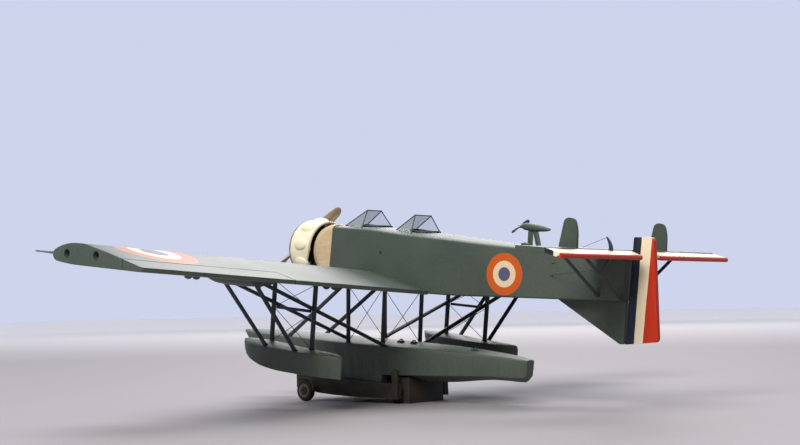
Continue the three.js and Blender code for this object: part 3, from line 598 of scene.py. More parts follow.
def airframe_paint():
    """Satin grey-green: soft mottling, fine speckle, faint weather streaks, dark wells and the roundels."""
    paint = Finish("airframe_paint")
    x, y, z = paint.datum()
    mottle = paint.noise(scale=0.12, detail=4.0)
    speckle = paint.noise(scale=2.6, detail=2.0)
    streak = paint.noise(stretch=(1, 1, 0.12), scale=0.9, detail=3.0)
    colour = paint.blend(mottle.past(0.5, 0.5), rgb(62, 73, 66), rgb(73, 84, 75))
    colour = paint.blend(speckle.past(0.56, 0.3) * 0.25, colour, rgb(92, 103, 92))
    hull = 1 - z.past(FLOAT_TOP_Z, 0.2)
    stain = hull * streak.past(0.5, 0.35) * (1 - z.past(WATERLINE_Z, 6.0))
    colour = paint.blend(stain * 0.4, colour, rgb(52, 56, 46))
    deck = z.past(DECK_Z, 0.4)
    for centre, half_length, half_width in COCKPITS:
        inside = away((x - centre) / half_length, y / half_width)
        well = (1 - inside.past(1.003, 0.004)) * z.past(31.0, 0.2)
        colour = paint.blend(well, colour, rgb(54, 50, 42))
    side = y.size().within(4.9, 7.2, 0.1)
    from_centre = away(x - FUSELAGE_ROUNDEL["x"], z - FUSELAGE_ROUNDEL["z"])
    colour = with_roundel(paint, colour, from_centre, FUSELAGE_ROUNDEL["radius"], side * (1 - deck))
    wing_line = (y.size() - FUSELAGE_HALF_WIDTH) * WING_RISE
    upper = (z - wing_line).past(WING_TE_Z + 0.9, 0.1)
    from_centre = away(x - WING_ROUNDEL["x"], y.size() - WING_ROUNDEL["y"])
    colour = with_roundel(paint, colour, from_centre, WING_ROUNDEL["radius"], upper)
    roughness = 0.4 + mottle * 0.12 + stain * 0.2
    return paint.done(colour, roughness, speckle * 0.4 + streak * hull, 0.02)


def strut_paint():
    """Dark slate paint, rubbed lighter in long patches."""
    paint = Finish("strut_paint")
    worn = paint.noise(stretch=(1, 1, 0.3), scale=1.1, detail=4.0)
    grain = paint.noise(scale=4.0, detail=2.0)
    colour = paint.blend(worn.past(0.55, 0.35), rgb(36, 43, 46), rgb(58, 66, 68))
    return paint.done(colour, 0.38 + worn * 0.2, grain, 0.012)


def cowl_paint():
    """Ivory enamel with faint soot behind the blisters, a painted shadow round the front lip, and painted
    shade along the rear edge where the cowl meets the nose fairing.
    """
    paint = Finish("cowl_paint")
    x, y, z = paint.datum()
    soot = paint.noise(stretch=(0.25, 1, 1), scale=0.7, detail=4.0)
    colour = paint.blend(soot.past(0.62, 0.4) * 0.5, rgb(238, 232, 204), rgb(196, 182, 146))
    # Painted shadow: the front lip is darkened brown, standing for the shade that falls on it.
    lip_shade = x.past(COWL_FRONT_X - 0.85, 0.5)
    colour = paint.blend(lip_shade * (0.65 + soot * 0.5), colour, rgb(92, 76, 58))
    # Painted shade: the rear edge is darkened where the cowl meets the nose fairing.
    tail = 1 - x.past(COWL_REAR_X + 0.35, 0.3)
    colour = paint.blend(tail * 0.6, colour, rgb(150, 134, 104))
    return paint.done(colour, 0.3 + soot * 0.15, soot, 0.015)


def propeller_wood(name, angle, hub_z, dark, pale):
    """Varnished laminations: layers counted along the shaft, grain drawn out along the blades."""
    paint = Finish(name, Coat_Weight=0.4, Coat_Roughness=0.15)
    x, y, z = paint.datum()
    cos, sin = float(np.cos(angle)), float(np.sin(angle))
    along = (z - hub_z) * cos - y * sin
    across = (z - hub_z) * sin + y * cos
    grain = paint.noise(scale=1.0, detail=4.0, place=paint.joined(x * 5.0, across * 5.0, along * 0.35))
    layer = (x * 9.0).math("SINE") * 0.5 + 0.5
    colour = paint.blend(grain.past(0.5, 0.4), dark, pale)
    colour = paint.blend(layer.past(0.6, 0.5) * 0.35, colour, rgb(88, 68, 50))
    return paint.done(colour, 0.3 + grain * 0.2, grain, 0.015)


def stripe_paint():
    """Blue, cream and red in upright bands over the rudder and elevators, brushed by hand."""
    paint = Finish("stripe_paint", Specular_IOR_Level=0.35)
    x, y, z = paint.datum()
    waver = (paint.noise(stretch=(0.2, 0.2, 1), scale=0.6) - 0.5) * 0.12
    place = x + waver
    rudder = 1 - y.size().past(1.2, 0.1)
    tip = y.size().past(ELEVATOR_STRIPES["tip_y"], 0.2)
    rise = z - RUDDER_STRIPES["z"]
    blue_edge = rudder * (RUDDER_STRIPES["blue"] - rise * RUDDER_STRIPES["blue_lean"])
    # Painted reflection: inboard of the tips the elevators' blue band is narrowed to cream, standing for the
    # sheen on their tops.
    blue_edge = blue_edge + (1 - rudder) * (ELEVATOR_STRIPES["blue"] - tip * ELEVATOR_STRIPES["tip_step"])
    red_edge = rudder * (RUDDER_STRIPES["red"] - rise * RUDDER_STRIPES["red_lean"])
    red_edge = red_edge + (1 - rudder) * ELEVATOR_STRIPES["red"]
    under = (1 - rudder) * (38.0 - z).past(0.1, 0.2) * 0.55
    brush = paint.noise(stretch=(1, 1, 0.15), scale=1.5, detail=3.0)
    colour = paint.blend((blue_edge - place).past(0.0), STRIPE_BLUE, STRIPE_CREAM)
    colour = paint.blend((red_edge - place + under).past(0.0), colour, STRIPE_RED)
    colour = paint.blend(brush.past(0.6, 0.3) * 0.14, colour, rgb(120, 108, 92))
    return paint.done(colour, 0.28 + rudder * 0.14 + brush * 0.12, brush, 0.012)


def worn_paint(name, low, high, tone, step=(0.5, 0.4), grain=None, over=None, rough=(0.3, 0.2), depth=0.02,
               **constants):
    """Colours low and high, parted by a noise `tone`, and a third one over them where `over` gives its
    noise, edge, softness, share and colour. Roughness and bump follow `grain`, or else the tone. A noise
    is its scale, detail and stretch."""
    paint = Finish(name, **constants)
    first = paint.noise(*tone)
    second = paint.noise(*grain) if grain else first
    colour = paint.blend(first.past(*step) if step else first, low, high)
    if over:
        patch, edge, softness, share, shade = over
        patch = paint.noise(*patch) if patch else second
        colour = paint.blend(patch.past(edge, softness) * share, colour, shade)
    return paint.done(colour, rough[0] + second * rough[1], second if depth else None, depth)


def hub_paint():
    """Dark wheel discs, paler at the rim and on the boss, with dust between them."""
    paint = Finish("hub_paint")
    dust = paint.noise(scale=1.2, detail=4.0)
    x, _, z = paint.axes()
    from_axle = away(x - AXLE_X, z - WHEEL_RADIUS)
    pale = from_axle.past(1.0, 0.2) + (1 - from_axle.past(0.42, 0.1))
    colour = paint.blend(dust.past(0.5, 0.5), rgb(30, 27, 23), rgb(54, 49, 42))
    colour = paint.blend(pale * (0.7 + dust * 0.4), colour, rgb(108, 100, 84))
    return paint.done(colour, 0.5 + dust * 0.2, dust, 0.02)


AIRFRAME = airframe_paint()
STRUT = strut_paint()
COWL = cowl_paint()
STRIPES = stripe_paint()
PROP_WOOD = propeller_wood("propeller_wood", PROP_ANGLE, THRUST_Z, rgb(142, 122, 98), rgb(172, 152, 126))
POD_WOOD = propeller_wood("generator_wood", POD_PROP_ANGLE, POD_Z, rgb(40, 36, 38), rgb(66, 60, 58))
# Tan enamel with long faint brushing along the flow
FAIRING = worn_paint("fairing_paint", rgb(196, 174, 138), rgb(216, 194, 156), (0.2,), (0.5, 0.5),
                     (1.6, 3.0, (0.2, 1, 1)), (None, 0.55, 0.3, 0.35, rgb(164, 142, 108)),
                     rough=(0.42, 0.12), depth=0.012)
# Dark finned metal with oily patches, and dull steel for hubs, tubes and bolts
ENGINE = worn_paint("engine_metal", rgb(52, 52, 54), rgb(96, 94, 92), (0.8, 4.0), rough=(0.34, 0.3),
                    Metallic=0.65)
METAL = worn_paint("bare_metal", rgb(120, 120, 120), rgb(168, 168, 164), (1.4,), depth=0.01, Metallic=0.8)
# Navy enamel of the control horn
HORN = worn_paint("horn_paint", rgb(34, 42, 60), rgb(52, 62, 84), (1.2,), None, rough=(0.35, 0.15),
                  depth=0.01)
# Thin clear sheet, faintly green, slightly clouded. The front panes are made less clear than the side panes:
# a painted reflection, for the glancing view through them.
FRONT_PANE, SIDE_PANE = (
    worn_paint(name, rgb(138, 152, 144), rgb(158, 170, 162), (0.5,), None, rough=(0.06, 0.1), depth=0,
               Alpha=alpha, IOR=1.49)
    for name, alpha in (("front_pane", 0.33), ("side_pane", 0.14)))
# Dark coaming, scuffed paler along its edge
RIM = worn_paint("rim_paint", rgb(30, 35, 33), rgb(46, 53, 49), (0.8,), (0.5, 0.5), (3.0,), rough=(0.45, 0.2))
WIRE = worn_paint("wire_metal", rgb(44, 50, 56), rgb(74, 80, 86), (3.0,), None, rough=(0.35, 0.2), depth=0,
                  Metallic=0.5)
# Weathered boards: grain along them, dark patches and paler rubbed places
DOLLY = worn_paint("dolly_paint", rgb(27, 23, 19), rgb(50, 43, 36), (1.8, 4.0, (0.16, 1, 1)),
                   over=((0.28, 4.0), 0.6, 0.3, 0.4, rgb(72, 64, 54)), rough=(0.6, 0.2), depth=0.04)
# Dusty dark rubber
TYRE = worn_paint("tyre_rubber", rgb(20, 19, 17), rgb(42, 39, 34), (1.6, 4.0), (0.5, 0.5), rough=(0.7, 0.2),
                  depth=0.03)
HUB = hub_paint()


# Wing

# Upper side of the section: x ahead of the trailing edge, z over it
UPPER_CURVE = [[0, 0.42], [4.3, 1.28], [8.4, 2.12], [13.3, 3.0],
               [17.3, 3.55], [19.5, 3.52], [22.6, 3.05], [24.6, 2.4]]
UPPER_POINTS = 34
NOSE_POINTS = 16
NOSE_LENGTH = 1.75
NOSE_CENTRE_Z = 1.13
NOSE_HALF_DEPTH = 1.22
UNDER_RISE = 0.34
SECTION_MIDDLE_Z = 1.3
TIP_DRAW = 0.12
TIP_HOLE_RADIUS = 0.84
TIP_HOLE_DEPTH = 1.2
# x and z of the sockets in each tip
TIP_HOLES = [[16.96, 32.85], [8.39, 33.0]]


def wing_te_z(y):
    """Height of the trailing edge: it rises evenly from the root to the tip."""
    return WING_TE_Z + (np.abs(y) - FUSELAGE_HALF_WIDTH) * WING_RISE


def aerofoil():
    """Columns of x ahead of the trailing edge and z over it, once round: a smooth upper curve, a round
    nose drawn by a half ellipse, and a nearly flat underside that rises towards the nose."""
    upper_x = np.linspace(0, UPPER_CURVE[-1][0], UPPER_POINTS)
    upper = np.stack([upper_x, through(UPPER_CURVE, upper_x)[:, 0]], axis=-1)
    turn = np.linspace(1.15, -1.45, NOSE_POINTS)
    nose = np.stack([CHORD - NOSE_LENGTH + NOSE_LENGTH * np.cos(turn),
                     NOSE_CENTRE_Z + NOSE_HALF_DEPTH * np.sin(turn)], axis=-1)
    under_x = np.linspace(23.0, 0.8, 12)
    under_z = WING_UNDER_Z + UNDER_RISE * np.clip((under_x - 18) / 6.15, 0, 1) ** 2
    under = np.stack([under_x, under_z], axis=-1)
    return np.concatenate([upper, nose, under, [[0, WING_UNDER_Z + 0.1]]])


def clipped(section, ahead_of=None, behind=None):
    """The aerofoil with every point past a place along the chord drawn back to the upright line there,
    so that the count of points stays the same."""
    x = section[:, 0] + WING_TE_X
    edge = ahead_of if ahead_of is not None else behind
    upper_z = np.interp(edge, x[:UPPER_POINTS], section[:UPPER_POINTS, 1])
    past = x < edge if ahead_of is not None else x > edge
    on_top = np.arange(len(x)) < UPPER_POINTS + NOSE_POINTS // 2
    z = np.where(past, np.where(on_top, upper_z, WING_UNDER_Z), section[:, 1])
    return np.stack([np.where(past, edge, x), z], axis=-1)


def panel(pieces, tip=TIP_DRAW):
    """Wing skin in one grid. Each piece is (section, y from, y to) with x already in the aeroplane's
    datum, raised to the trailing edge's line; the last rows draw in by a quarter circle `tip` deep."""
    turn = np.linspace(0, np.pi / 2, 5)
    rows = []
    for number, (section, y_from, y_to) in enumerate(pieces):
        last = number == len(pieces) - 1
        y = np.linspace(y_from, y_to - tip * last, 12)
        shrink = np.ones(12)
        if last:
            y = np.concatenate([y, y_to - tip + tip * np.sin(turn[1:])])
            shrink = np.concatenate([shrink, 1 - (1 - np.cos(turn[1:])) * tip / 2 / SECTION_MIDDLE_Z])
        middle = np.array([section[:, 0].mean(), SECTION_MIDDLE_Z])
        drawn = middle + (section - middle) * shrink[:, None, None]
        rows.append(grid_of(drawn[..., 0], y[:, None], drawn[..., 1] + wing_te_z(y)[:, None]))
    return skin(np.concatenate(rows))


SECTION = aerofoil()
WHOLE_SECTION = SECTION + (WING_TE_X, 0)
wing_skin = panel([(WHOLE_SECTION, FUSELAGE_HALF_WIDTH - 0.3, AILERON_INNER_Y),
                   (clipped(SECTION, ahead_of=AILERON_HINGE_X), AILERON_INNER_Y, HALF_SPAN)])
TIP_HOLE = [[HALF_SPAN - TIP_HOLE_DEPTH, 0], [HALF_SPAN - TIP_HOLE_DEPTH, TIP_HOLE_RADIUS],
            [HALF_SPAN + 1, TIP_HOLE_RADIUS], [HALF_SPAN + 1, 0]]
tip_holes = [turned(TIP_HOLE, (x, 0, z), along="y", steps=32) for x, z in TIP_HOLES]
make_pair("wing_panel", [wing_skin], AIRFRAME, node="wing", holes=tip_holes)
aileron_section = clipped(SECTION, behind=AILERON_HINGE_X - AILERON_GAP)
aileron_skin = panel([(aileron_section, AILERON_INNER_Y + AILERON_GAP, HALF_SPAN)])
make_pair("aileron_panel", [aileron_skin], AIRFRAME, node="aileron")

# Pulley housings under the wing: x, y
PULLEYS = [[10.5, 60.0], [10.5, 58.0], [12.2, 20.0], [11.5, 18.2]]
pulleys = [dome((x, y, wing_te_z(y) - 0.72), (0.95, 0.65, 0.62), 24, 12) for x, y in PULLEYS]
make_pair("pulley_housings", pulleys, AIRFRAME)


def strut_fairing_skin():
    """Low blister under the wing, whose depth is sqrt((1 - |u|^4) (1 - |v|^4)) for u along the chord
    and v along the span, each running from -1 to 1; its roof lies inside the wing."""
    u, v = np.linspace(-1, 1, 33), np.linspace(-1, 1, 29)[:, None]
    x = FAIRING_X + FAIRING_HALF_LENGTH * u
    y = (FAIRING_INNER_Y + FAIRING_OUTER_Y) / 2 + (FAIRING_OUTER_Y - FAIRING_INNER_Y) / 2 * v
    share = np.sqrt((1 - np.abs(u) ** 4) * (1 - np.abs(v) ** 4))
    top = wing_te_z(y) - 0.15
    low = top - (top - FAIRING_BOTTOM_Z) * share
    return skin(np.concatenate([grid_of(x, y, low), grid_of(x, y, top + 0.1)[:, ::-1]], axis=1))


make_pair("brace_fairing", [strut_fairing_skin()], AIRFRAME, node="strut_fairing", crease=40)

PITOT = [[20.0, 0.26], [23.4, 0.24], [23.6, 0.19], [27.75, 0.16], [27.85, 0.0]]
PITOT_INSET = 0.9
PITOT_Z = 32.7
pitot = turned(PITOT, (0, HALF_SPAN - PITOT_INSET, PITOT_Z), steps=20)
make("pitot_probe", [pitot], METAL, slot="strut_paint", replaces=["pitot_tube"])


# Fuselage

def fuselage_at(x):
    """Half width, edge height, crown height and bottom height at places along the fuselage."""
    return through(FUSELAGE_STATIONS, np.atleast_1d(x).astype(float)).T


def crown_z(x, y):
    """Height of the fuselage's cambered top."""
    half, edge, crown, _ = fuselage_at(x)
    return edge + (crown - edge) * (1 - (y / half) ** 2)


def both_sides(x, port_y, port_z):
    """Rings from their port halves, which run from the keel to the crown, and their mirror."""
    y = np.concatenate([port_y, -port_y[:, -2:0:-1]], axis=1)
    return grid_of(x, y, np.concatenate([port_z, port_z[:, -2:0:-1]], axis=1))


def fuselage_skin():
    """Rings across the fuselage: flat sides, rounded edges, and the crown
    z = edge + (crown - edge) (1 - (y / half)^2). The front rings lean aft towards their tops."""
    x = np.linspace(STERNPOST_X, BULKHEAD_X, 96)
    half, edge, crown, bottom = fuselage_at(x)[:, :, None]
    radius = FUSELAGE_EDGE_RADIUS
    turn = np.linspace(0, np.pi / 2, 6)
    share = np.linspace(0.88, 0.0, 12)
    port_y = np.concatenate([0 * half, half - radius + radius * np.sin(turn),
                             half - radius + radius * np.cos(turn[:5]), half * share], axis=1)
    port_z = np.concatenate([bottom, bottom + radius - radius * np.cos(turn),
                             edge - radius + radius * np.sin(turn[:5]),
                             edge + (crown - edge) * (1 - share ** 2)], axis=1)
    grid = both_sides(x[:, None], port_y, port_z)
    lean = BULKHEAD_LEAN * (grid[..., 2] - FUSELAGE_BOTTOM_Z)
    grid[..., 0] -= lean * np.clip((x[:, None] - LEAN_FROM_X) / (BULKHEAD_X - LEAN_FROM_X), 0, 1)
    return skin(grid)


def well(centre, half_length, half_width):
    """An upright elliptical well."""
    profile = [[WELL_FLOOR_Z, 0], [WELL_FLOOR_Z, 1], [WELL_TOP_Z, 1], [WELL_TOP_Z, 0]]
    part = turned(profile, (0, 0, 0), along="z", steps=72)
    return part[0] * (half_length, half_width, 1) + (centre, 0, 0), part[1]


def cockpit_rim(centre, half_length, half_width):
    """A low coaming round the well: an oval section, 0.4 mm over the crown, with its foot under it."""
    turn = np.linspace(0, 2 * np.pi, 96, endpoint=False)
    x, y = centre + (half_length + 0.1) * np.cos(turn), (half_width + 0.1) * np.sin(turn)
    path = np.stack([x, y, crown_z(x, y) + 0.1], axis=-1)
    return carried(path, ring_of(1.0, 16) * (0.32, 0.22), facing=(0, 0, 1), closed=True)


make("fuselage_shell", [fuselage_skin()], AIRFRAME, replaces=["fuselage"], holes=[well(*c) for c in COCKPITS])
make("cockpit_rims", [cockpit_rim(*cockpit) for cockpit in COCKPITS], RIM, slot="strut_paint")


def nose_skin():
    """Superellipse rings |y/a|^n + |z/b|^n = 1, whose power n falls from 12, nearly square at the
    bulkhead, to 2, round at the engine mount."""
    share = np.linspace(0, 1, 28)
    x = BULKHEAD_X - 0.02 + share * (NOSE_FRONT_X - BULKHEAD_X)
    power = 2 + 10 * (1 - share) ** 2.6
    ease = share ** 1.5
    half_y = FUSELAGE_HALF_WIDTH + 0.02 - 1.25 * ease ** 2
    half_z = NOSE_HALF_HEIGHT - 1.2 * ease ** 1.6
    middle = NOSE_MIDDLE_Z + (THRUST_Z - NOSE_MIDDLE_Z) * ease
    turn = np.linspace(0, 2 * np.pi, 144, endpoint=False)
    bend = 2 / power[:, None]
    y = half_y[:, None] * np.sign(np.cos(turn)) * np.abs(np.cos(turn)) ** bend
    z = middle[:, None] + half_z[:, None] * np.sign(np.sin(turn)) * np.abs(np.sin(turn)) ** bend
    lean = BULKHEAD_LEAN * (z - FUSELAGE_BOTTOM_Z) * (1 - share[:, None])
    return skin(grid_of(x[:, None] - lean, y, z))


make("nose_fairing_skin", [nose_skin()], FAIRING, slot="fairing_paint", replaces=["nose_fairing"], crease=50)


# Engine, cowl and propeller

def cylinder(turn):
    """A finned cylinder on the radial: its profile's radius steps between root and fin nine times."""
    level = np.linspace(2.3, 5.5, 37)
    radius = np.where(np.arange(37) % 4 < 2, 0.92, 1.2)
    profile = np.concatenate([[[2.0, 0.0], [2.0, 0.92]], np.stack([level, radius], axis=-1),
                              [[5.55, 0.85], [5.95, 0.8], [6.0, 0.0]]])
    return rolled(turned(profile, (CYLINDER_X, 0, THRUST_Z), along="z", steps=24), turn, THRUST_Z)


CRANKCASE = [[30.4, 0], [30.4, 2.5], [31.5, 2.75], [36.1, 2.75], [36.6, 2.5],
             [37.1, 1.75], [38.3, 1.45], [38.5, 1.0], [39.55, 0.9], [39.55, 0]]
crankcase = turned(CRANKCASE, (0, 0, THRUST_Z), steps=48)
engine_parts = [crankcase]
for number in range(CYLINDERS):
    turn = number * 2 * np.pi / CYLINDERS
    engine_parts.append(cylinder(turn))
    for side in (-0.55, 0.55):
        push_rod = rod((36.3, side, THRUST_Z + 1.9), (35.3, side * 1.2, THRUST_Z + 5.7), 0.13, 8)
        engine_parts.append(rolled(push_rod, turn, THRUST_Z))
make("radial_engine", engine_parts, ENGINE, slot="engine_metal", replaces=["engine"], crease=28)

make("crankcase_bolts", stud_ring(38.35, 1.22, 8, (0.16, 0.14, 0.14)), METAL, slot="engine_metal")


def cowl_ring():
    """Ring section turned about the thrust line: a rolled front lip, a straight side and a turned-in tail,
    which is cut back by COWL_CUT towards the bottom."""
    inner = COWL_RADIUS - COWL_WALL
    arc = np.linspace(0, np.pi, 18)
    front_x = COWL_FRONT_X - 0.6 + 0.6 * np.sin(arc)
    front_r = COWL_RADIUS - 0.85 + 0.45 * np.cos(arc)
    profile = [[COWL_REAR_X, inner + 0.1], [COWL_REAR_X, COWL_RADIUS - 0.2],
               [COWL_REAR_X + 0.12, COWL_RADIUS - 0.06], [COWL_REAR_X + 0.4, COWL_RADIUS],
               [COWL_MIDDLE_X, COWL_RADIUS + 0.02], [COWL_FRONT_X - 2.2, COWL_RADIUS],
               [COWL_FRONT_X - 1.4, COWL_RADIUS - 0.1]]
    profile += np.stack([front_x, front_r], axis=-1).tolist()
    profile += [[COWL_FRONT_X - 1.4, COWL_RADIUS - 0.95], [COWL_FRONT_X - 2.2, inner],
                [COWL_REAR_X, inner + 0.1]]
    points, faces = turned(profile, (0, 0, THRUST_Z), steps=144)
    low = np.clip((THRUST_Z - 0.3 - points[:, 2]) / 3.2, 0, 1)
    tail = np.clip((COWL_MIDDLE_X - points[:, 0]) / (COWL_MIDDLE_X - COWL_REAR_X), 0, 1)
    points[:, 0] += COWL_CUT * low * tail
    return points, faces


def blister(turn):
    """A low dome over a cylinder head, longer than it is wide."""
    part = dome((CYLINDER_X - 0.15, 0, THRUST_Z + COWL_RADIUS - 0.13), (2.05, 1.5, 0.78), 40, 24)
    return rolled(part, turn, THRUST_Z)


cowl_parts = [cowl_ring()] + [blister(number * 2 * np.pi / CYLINDERS) for number in range(CYLINDERS)]
make("ring_cowl_shell", cowl_parts, COWL, slot="cowl_paint", replaces=["ring_cowl"], crease=40)

PROP_BLADE = [
    # share of the radius, chord, thickness, twist in degrees
    [0.05, 1.5, 1.25, 66], [0.16, 1.6, 1.05, 58], [0.3, 2.15, 0.85, 46], [0.5, 2.6, 0.62, 33],
    [0.7, 2.65, 0.48, 25], [0.85, 2.35, 0.38, 20], [0.925, 2.15, 0.3, 17], [0.985, 1.95, 0.22, 16],
]


def blade(table, radius, shaft_x, tip_from):
    """Blade along +Z: at each station a section flat behind and cambered in front, |sin|^0.8 thick,
    twisted about the blade's line; the tip closes in a half ellipse."""
    share = 1 - (1 - np.linspace(0, 1, 44)) ** 1.5
    share = 0.05 + 0.95 * share
    chord, thickness, twist = through(table, np.minimum(share, 0.985)).T
    tip = np.sqrt(np.clip(1 - ((share - tip_from) / (1 - tip_from)).clip(0, 1) ** 2, 0, 1))
    chord = chord * tip
    thickness = thickness * (0.3 + 0.7 * tip) * np.where(share > 0.999, 0, 1)
    turn = np.linspace(0, 2 * np.pi, 32, endpoint=False)
    wide = chord[:, None] / 2 * np.cos(turn)
    front = np.where(np.sin(turn) > 0, 0.7, 0.3)
    deep = thickness[:, None] * np.sign(np.sin(turn)) * np.abs(np.sin(turn)) ** 0.8 * front
    angle = np.radians(twist)[:, None]
    x = shaft_x + wide * np.sin(angle) + deep * np.cos(angle)
    y = wide * np.cos(angle) - deep * np.sin(angle)
    return skin(grid_of(x, y, (share * radius)[:, None]))


def two_bladed(table, radius, shaft_x, height, angle, tip_from):
    """Two opposite blades, turned to their parked angle and raised to the shaft."""
    one = blade(table, radius, shaft_x, tip_from)
    blades = [rolled(one, angle), rolled(one, angle + np.pi)]
    return [(points + (0, 0, height), faces) for points, faces in blades]


make("propeller_blades", two_bladed(PROP_BLADE, PROP_RADIUS, PROP_X, THRUST_Z, PROP_ANGLE, 0.9), PROP_WOOD,
     body="propeller", slot="propeller_wood", replaces=["propeller"], crease=50)
HUB_PROFILE = [[39.65, 0], [39.65, 1.2], [39.85, 1.28], [41.15, 1.28], [41.3, 1.2],
               [41.3, 0.62], [41.9, 0.55], [42.05, 0.4], [42.1, 0]]
hub = [turned(HUB_PROFILE, (0, 0, THRUST_Z), steps=48)]
hub += stud_ring(41.32, 0.92, 6, (0.16, 0.15, 0.15), 10)
make("propeller_hub", hub, METAL, body="propeller", slot="engine_metal")


# Floats

def float_skin(tables):
    """Rings across a float: a V bottom slightly hollow towards the chine, sides that lean out to a
    rounded deck edge, and the deck z = edge + (crown - edge) (1 - (y / beam)^2). Each table's rows
    follow each other, so the step between two tables stays sharp. The bow closes in a round."""
    rings = []
    for table in tables:
        far, near = table[0][0], table[-1][0]
        share = np.linspace(0, 1, 48)
        x = far + (near - far) * share
        beam, edge, crown, chine, chine_z, keel_z = through(table, x).T[:, :, None]
        radius = np.minimum(FLOAT_EDGE_RADIUS, beam * 0.3)
        hollow = np.linspace(0, 1, 7)
        sag = 0.06 * np.minimum(chine, 5.0)
        bottom_line = keel_z + (chine_z - keel_z) * hollow + sag * np.sin(hollow * np.pi) * hollow
        side = np.linspace(0, 1, 6)[1:]
        wall_y = chine + (beam - chine) * np.sin(side * np.pi / 2)
        wall_z = chine_z + (edge - radius - chine_z) * side
        turn = np.linspace(0, np.pi / 2, 5)[1:4]
        edge_y = beam - radius + radius * np.cos(turn)
        edge_z = edge - radius + radius * np.sin(turn)
        deck = np.linspace(0.93, 0, 9)
        deck_line = edge + (crown - edge) * (1 - deck ** 2)
        port_y = np.concatenate([chine * hollow, wall_y, edge_y, beam * deck], axis=1)
        port_z = np.concatenate([bottom_line, wall_z, edge_z, deck_line], axis=1)
        rings.append(both_sides(x[:, None], port_y, port_z))
    grid = np.concatenate(rings)
    middle = grid[0].mean(axis=0)
    bow = np.stack([middle + (grid[0] - middle) * size + (0.42 * np.sqrt(1 - size ** 2), 0, 0)
                    for size in (0.35, 0.75, 0.94)])
    return skin(np.concatenate([bow, grid]))


def deck_z(tables, x, y):
    """Height of a float's cambered deck."""
    table = next(t for t in tables if t[0][0] >= x >= t[-1][0])
    beam, edge, crown = through(table, np.array([float(x)]))[0, :3]
    return float(edge + (crown - edge) * (1 - min(1.0, (y / beam) ** 2)))


MAIN_FLOAT = [MAIN_FLOAT_FORE, MAIN_FLOAT_AFT]
make("main_float_hull", [float_skin(MAIN_FLOAT)], AIRFRAME, replaces=["main_float"], crease=26)
outer = float_skin([OUTER_FLOAT])
outer = (outer[0] + (0, OUTER_FLOAT_Y, 0), outer[1])
make_pair("outer_float_hull", [outer], AIRFRAME, node="outer_float", crease=26)


# Lid profile: height, radius. Handle: points from the lid's centre
HATCH_LID = [[0, 0.95], [0.2, 0.95], [0.24, 0.86], [0.28, 0.8], [0.42, 0.55], [0.48, 0]]
HATCH_HANDLE = np.array([[-0.5, 0, 0.3], [-0.4, 0, 0.62], [0, 0, 0.72], [0.4, 0, 0.62], [0.5, 0, 0.3]])
HATCHES = [[5.6, 2.0], [1.9, 2.0], [-14.56, 1.6]]


def hatch(x, y):
    """A round hand-hole cover: a domed lid on a thin rim, with a bar handle."""
    base = deck_z(MAIN_FLOAT, x, y) - 0.12
    lid = turned(HATCH_LID, (x, y, base), along="z", steps=32)
    return [lid, carried(HATCH_HANDLE + (x, y, base), ring_of(0.12, 10), (0, 1, 0))]


make("deck_hatches", [part for place in HATCHES for part in hatch(*place)], STRUT, slot="strut_paint")


# Struts

def seat_z(seat, x, y):
    """Height of what a strut's end rests on."""
    if seat == "main":
        return deck_z(MAIN_FLOAT, x, y)
    if seat == "outer":
        return deck_z([OUTER_FLOAT], x, y - OUTER_FLOAT_Y)
    if seat == "upright":
        return deck_z(MAIN_FLOAT, x, y) + UPRIGHT_SEAT
    if seat == "fuselage":
        return float(fuselage_at(x)[3][0])
    if seat == "fairing":
        return FAIRING_BOTTOM_Z + FAIRING_SEAT
    return float(wing_te_z(y)) + WING_SEAT


def strut_parts(foot_x, foot_y, head_x, head_y, foot_seat, head_seat, chord, width):
    """A streamlined bar whose ends are buried a little, with a low shoe at each end."""
    foot = np.array([foot_x, foot_y, seat_z(foot_seat, foot_x, foot_y)])
    head = np.array([head_x, head_y, seat_z(head_seat, head_x, head_y)])
    reach = (head - foot) / np.linalg.norm(head - foot)
    path = np.linspace(foot - reach * 0.15, head + reach * 0.2, 8)
    bar = carried(path, streamline(chord, width), facing=(1, 0, 0))
    shoes = [dome(end, (chord * 0.62, width * 0.75, 0.3), 20, 10) for end in (foot, head)]
    return [bar, *shoes]


for name, *place in STRUTS:
    make_pair(f"{name}_bar", strut_parts(*place), STRUT, node=name, slot="strut_paint")
spreader = rod((7.3, FLOAT_STRUT_Y, SPREADER_Z), (17.1, FLOAT_STRUT_Y, SPREADER_Z), SPREADER_RADIUS, 16)
make_pair("float_spreader_bar", [spreader], STRUT, node="float_spreader", slot="strut_paint")


# Tail

def curve(start, pull, end, t):
    """The quadratic curve (1 - t)^2 start + 2 t (1 - t) pull + t^2 end."""
    return (1 - t) ** 2 * start + 2 * t * (1 - t) * pull + t ** 2 * end


def plate_outline(corners, rounds, steps=6):
    """A polygon whose corners are eased: near each corner a quadratic curve runs from `round` before it
    to `round` after it."""
    corners = np.asarray(corners, float)
    before = np.roll(corners, 1, axis=0) - corners
    after = np.roll(corners, -1, axis=0) - corners
    before_length = np.linalg.norm(before, axis=1)
    after_length = np.linalg.norm(after, axis=1)
    reach = np.minimum(np.asarray(rounds, float), np.minimum(before_length, after_length) * 0.49)
    start = corners + before / before_length[:, None] * reach[:, None]
    end = corners + after / after_length[:, None] * reach[:, None]
    eased = curve(start, corners, end, np.linspace(0, 1, steps)[:, None, None])
    return eased.transpose(1, 0, 2).reshape(-1, 2)


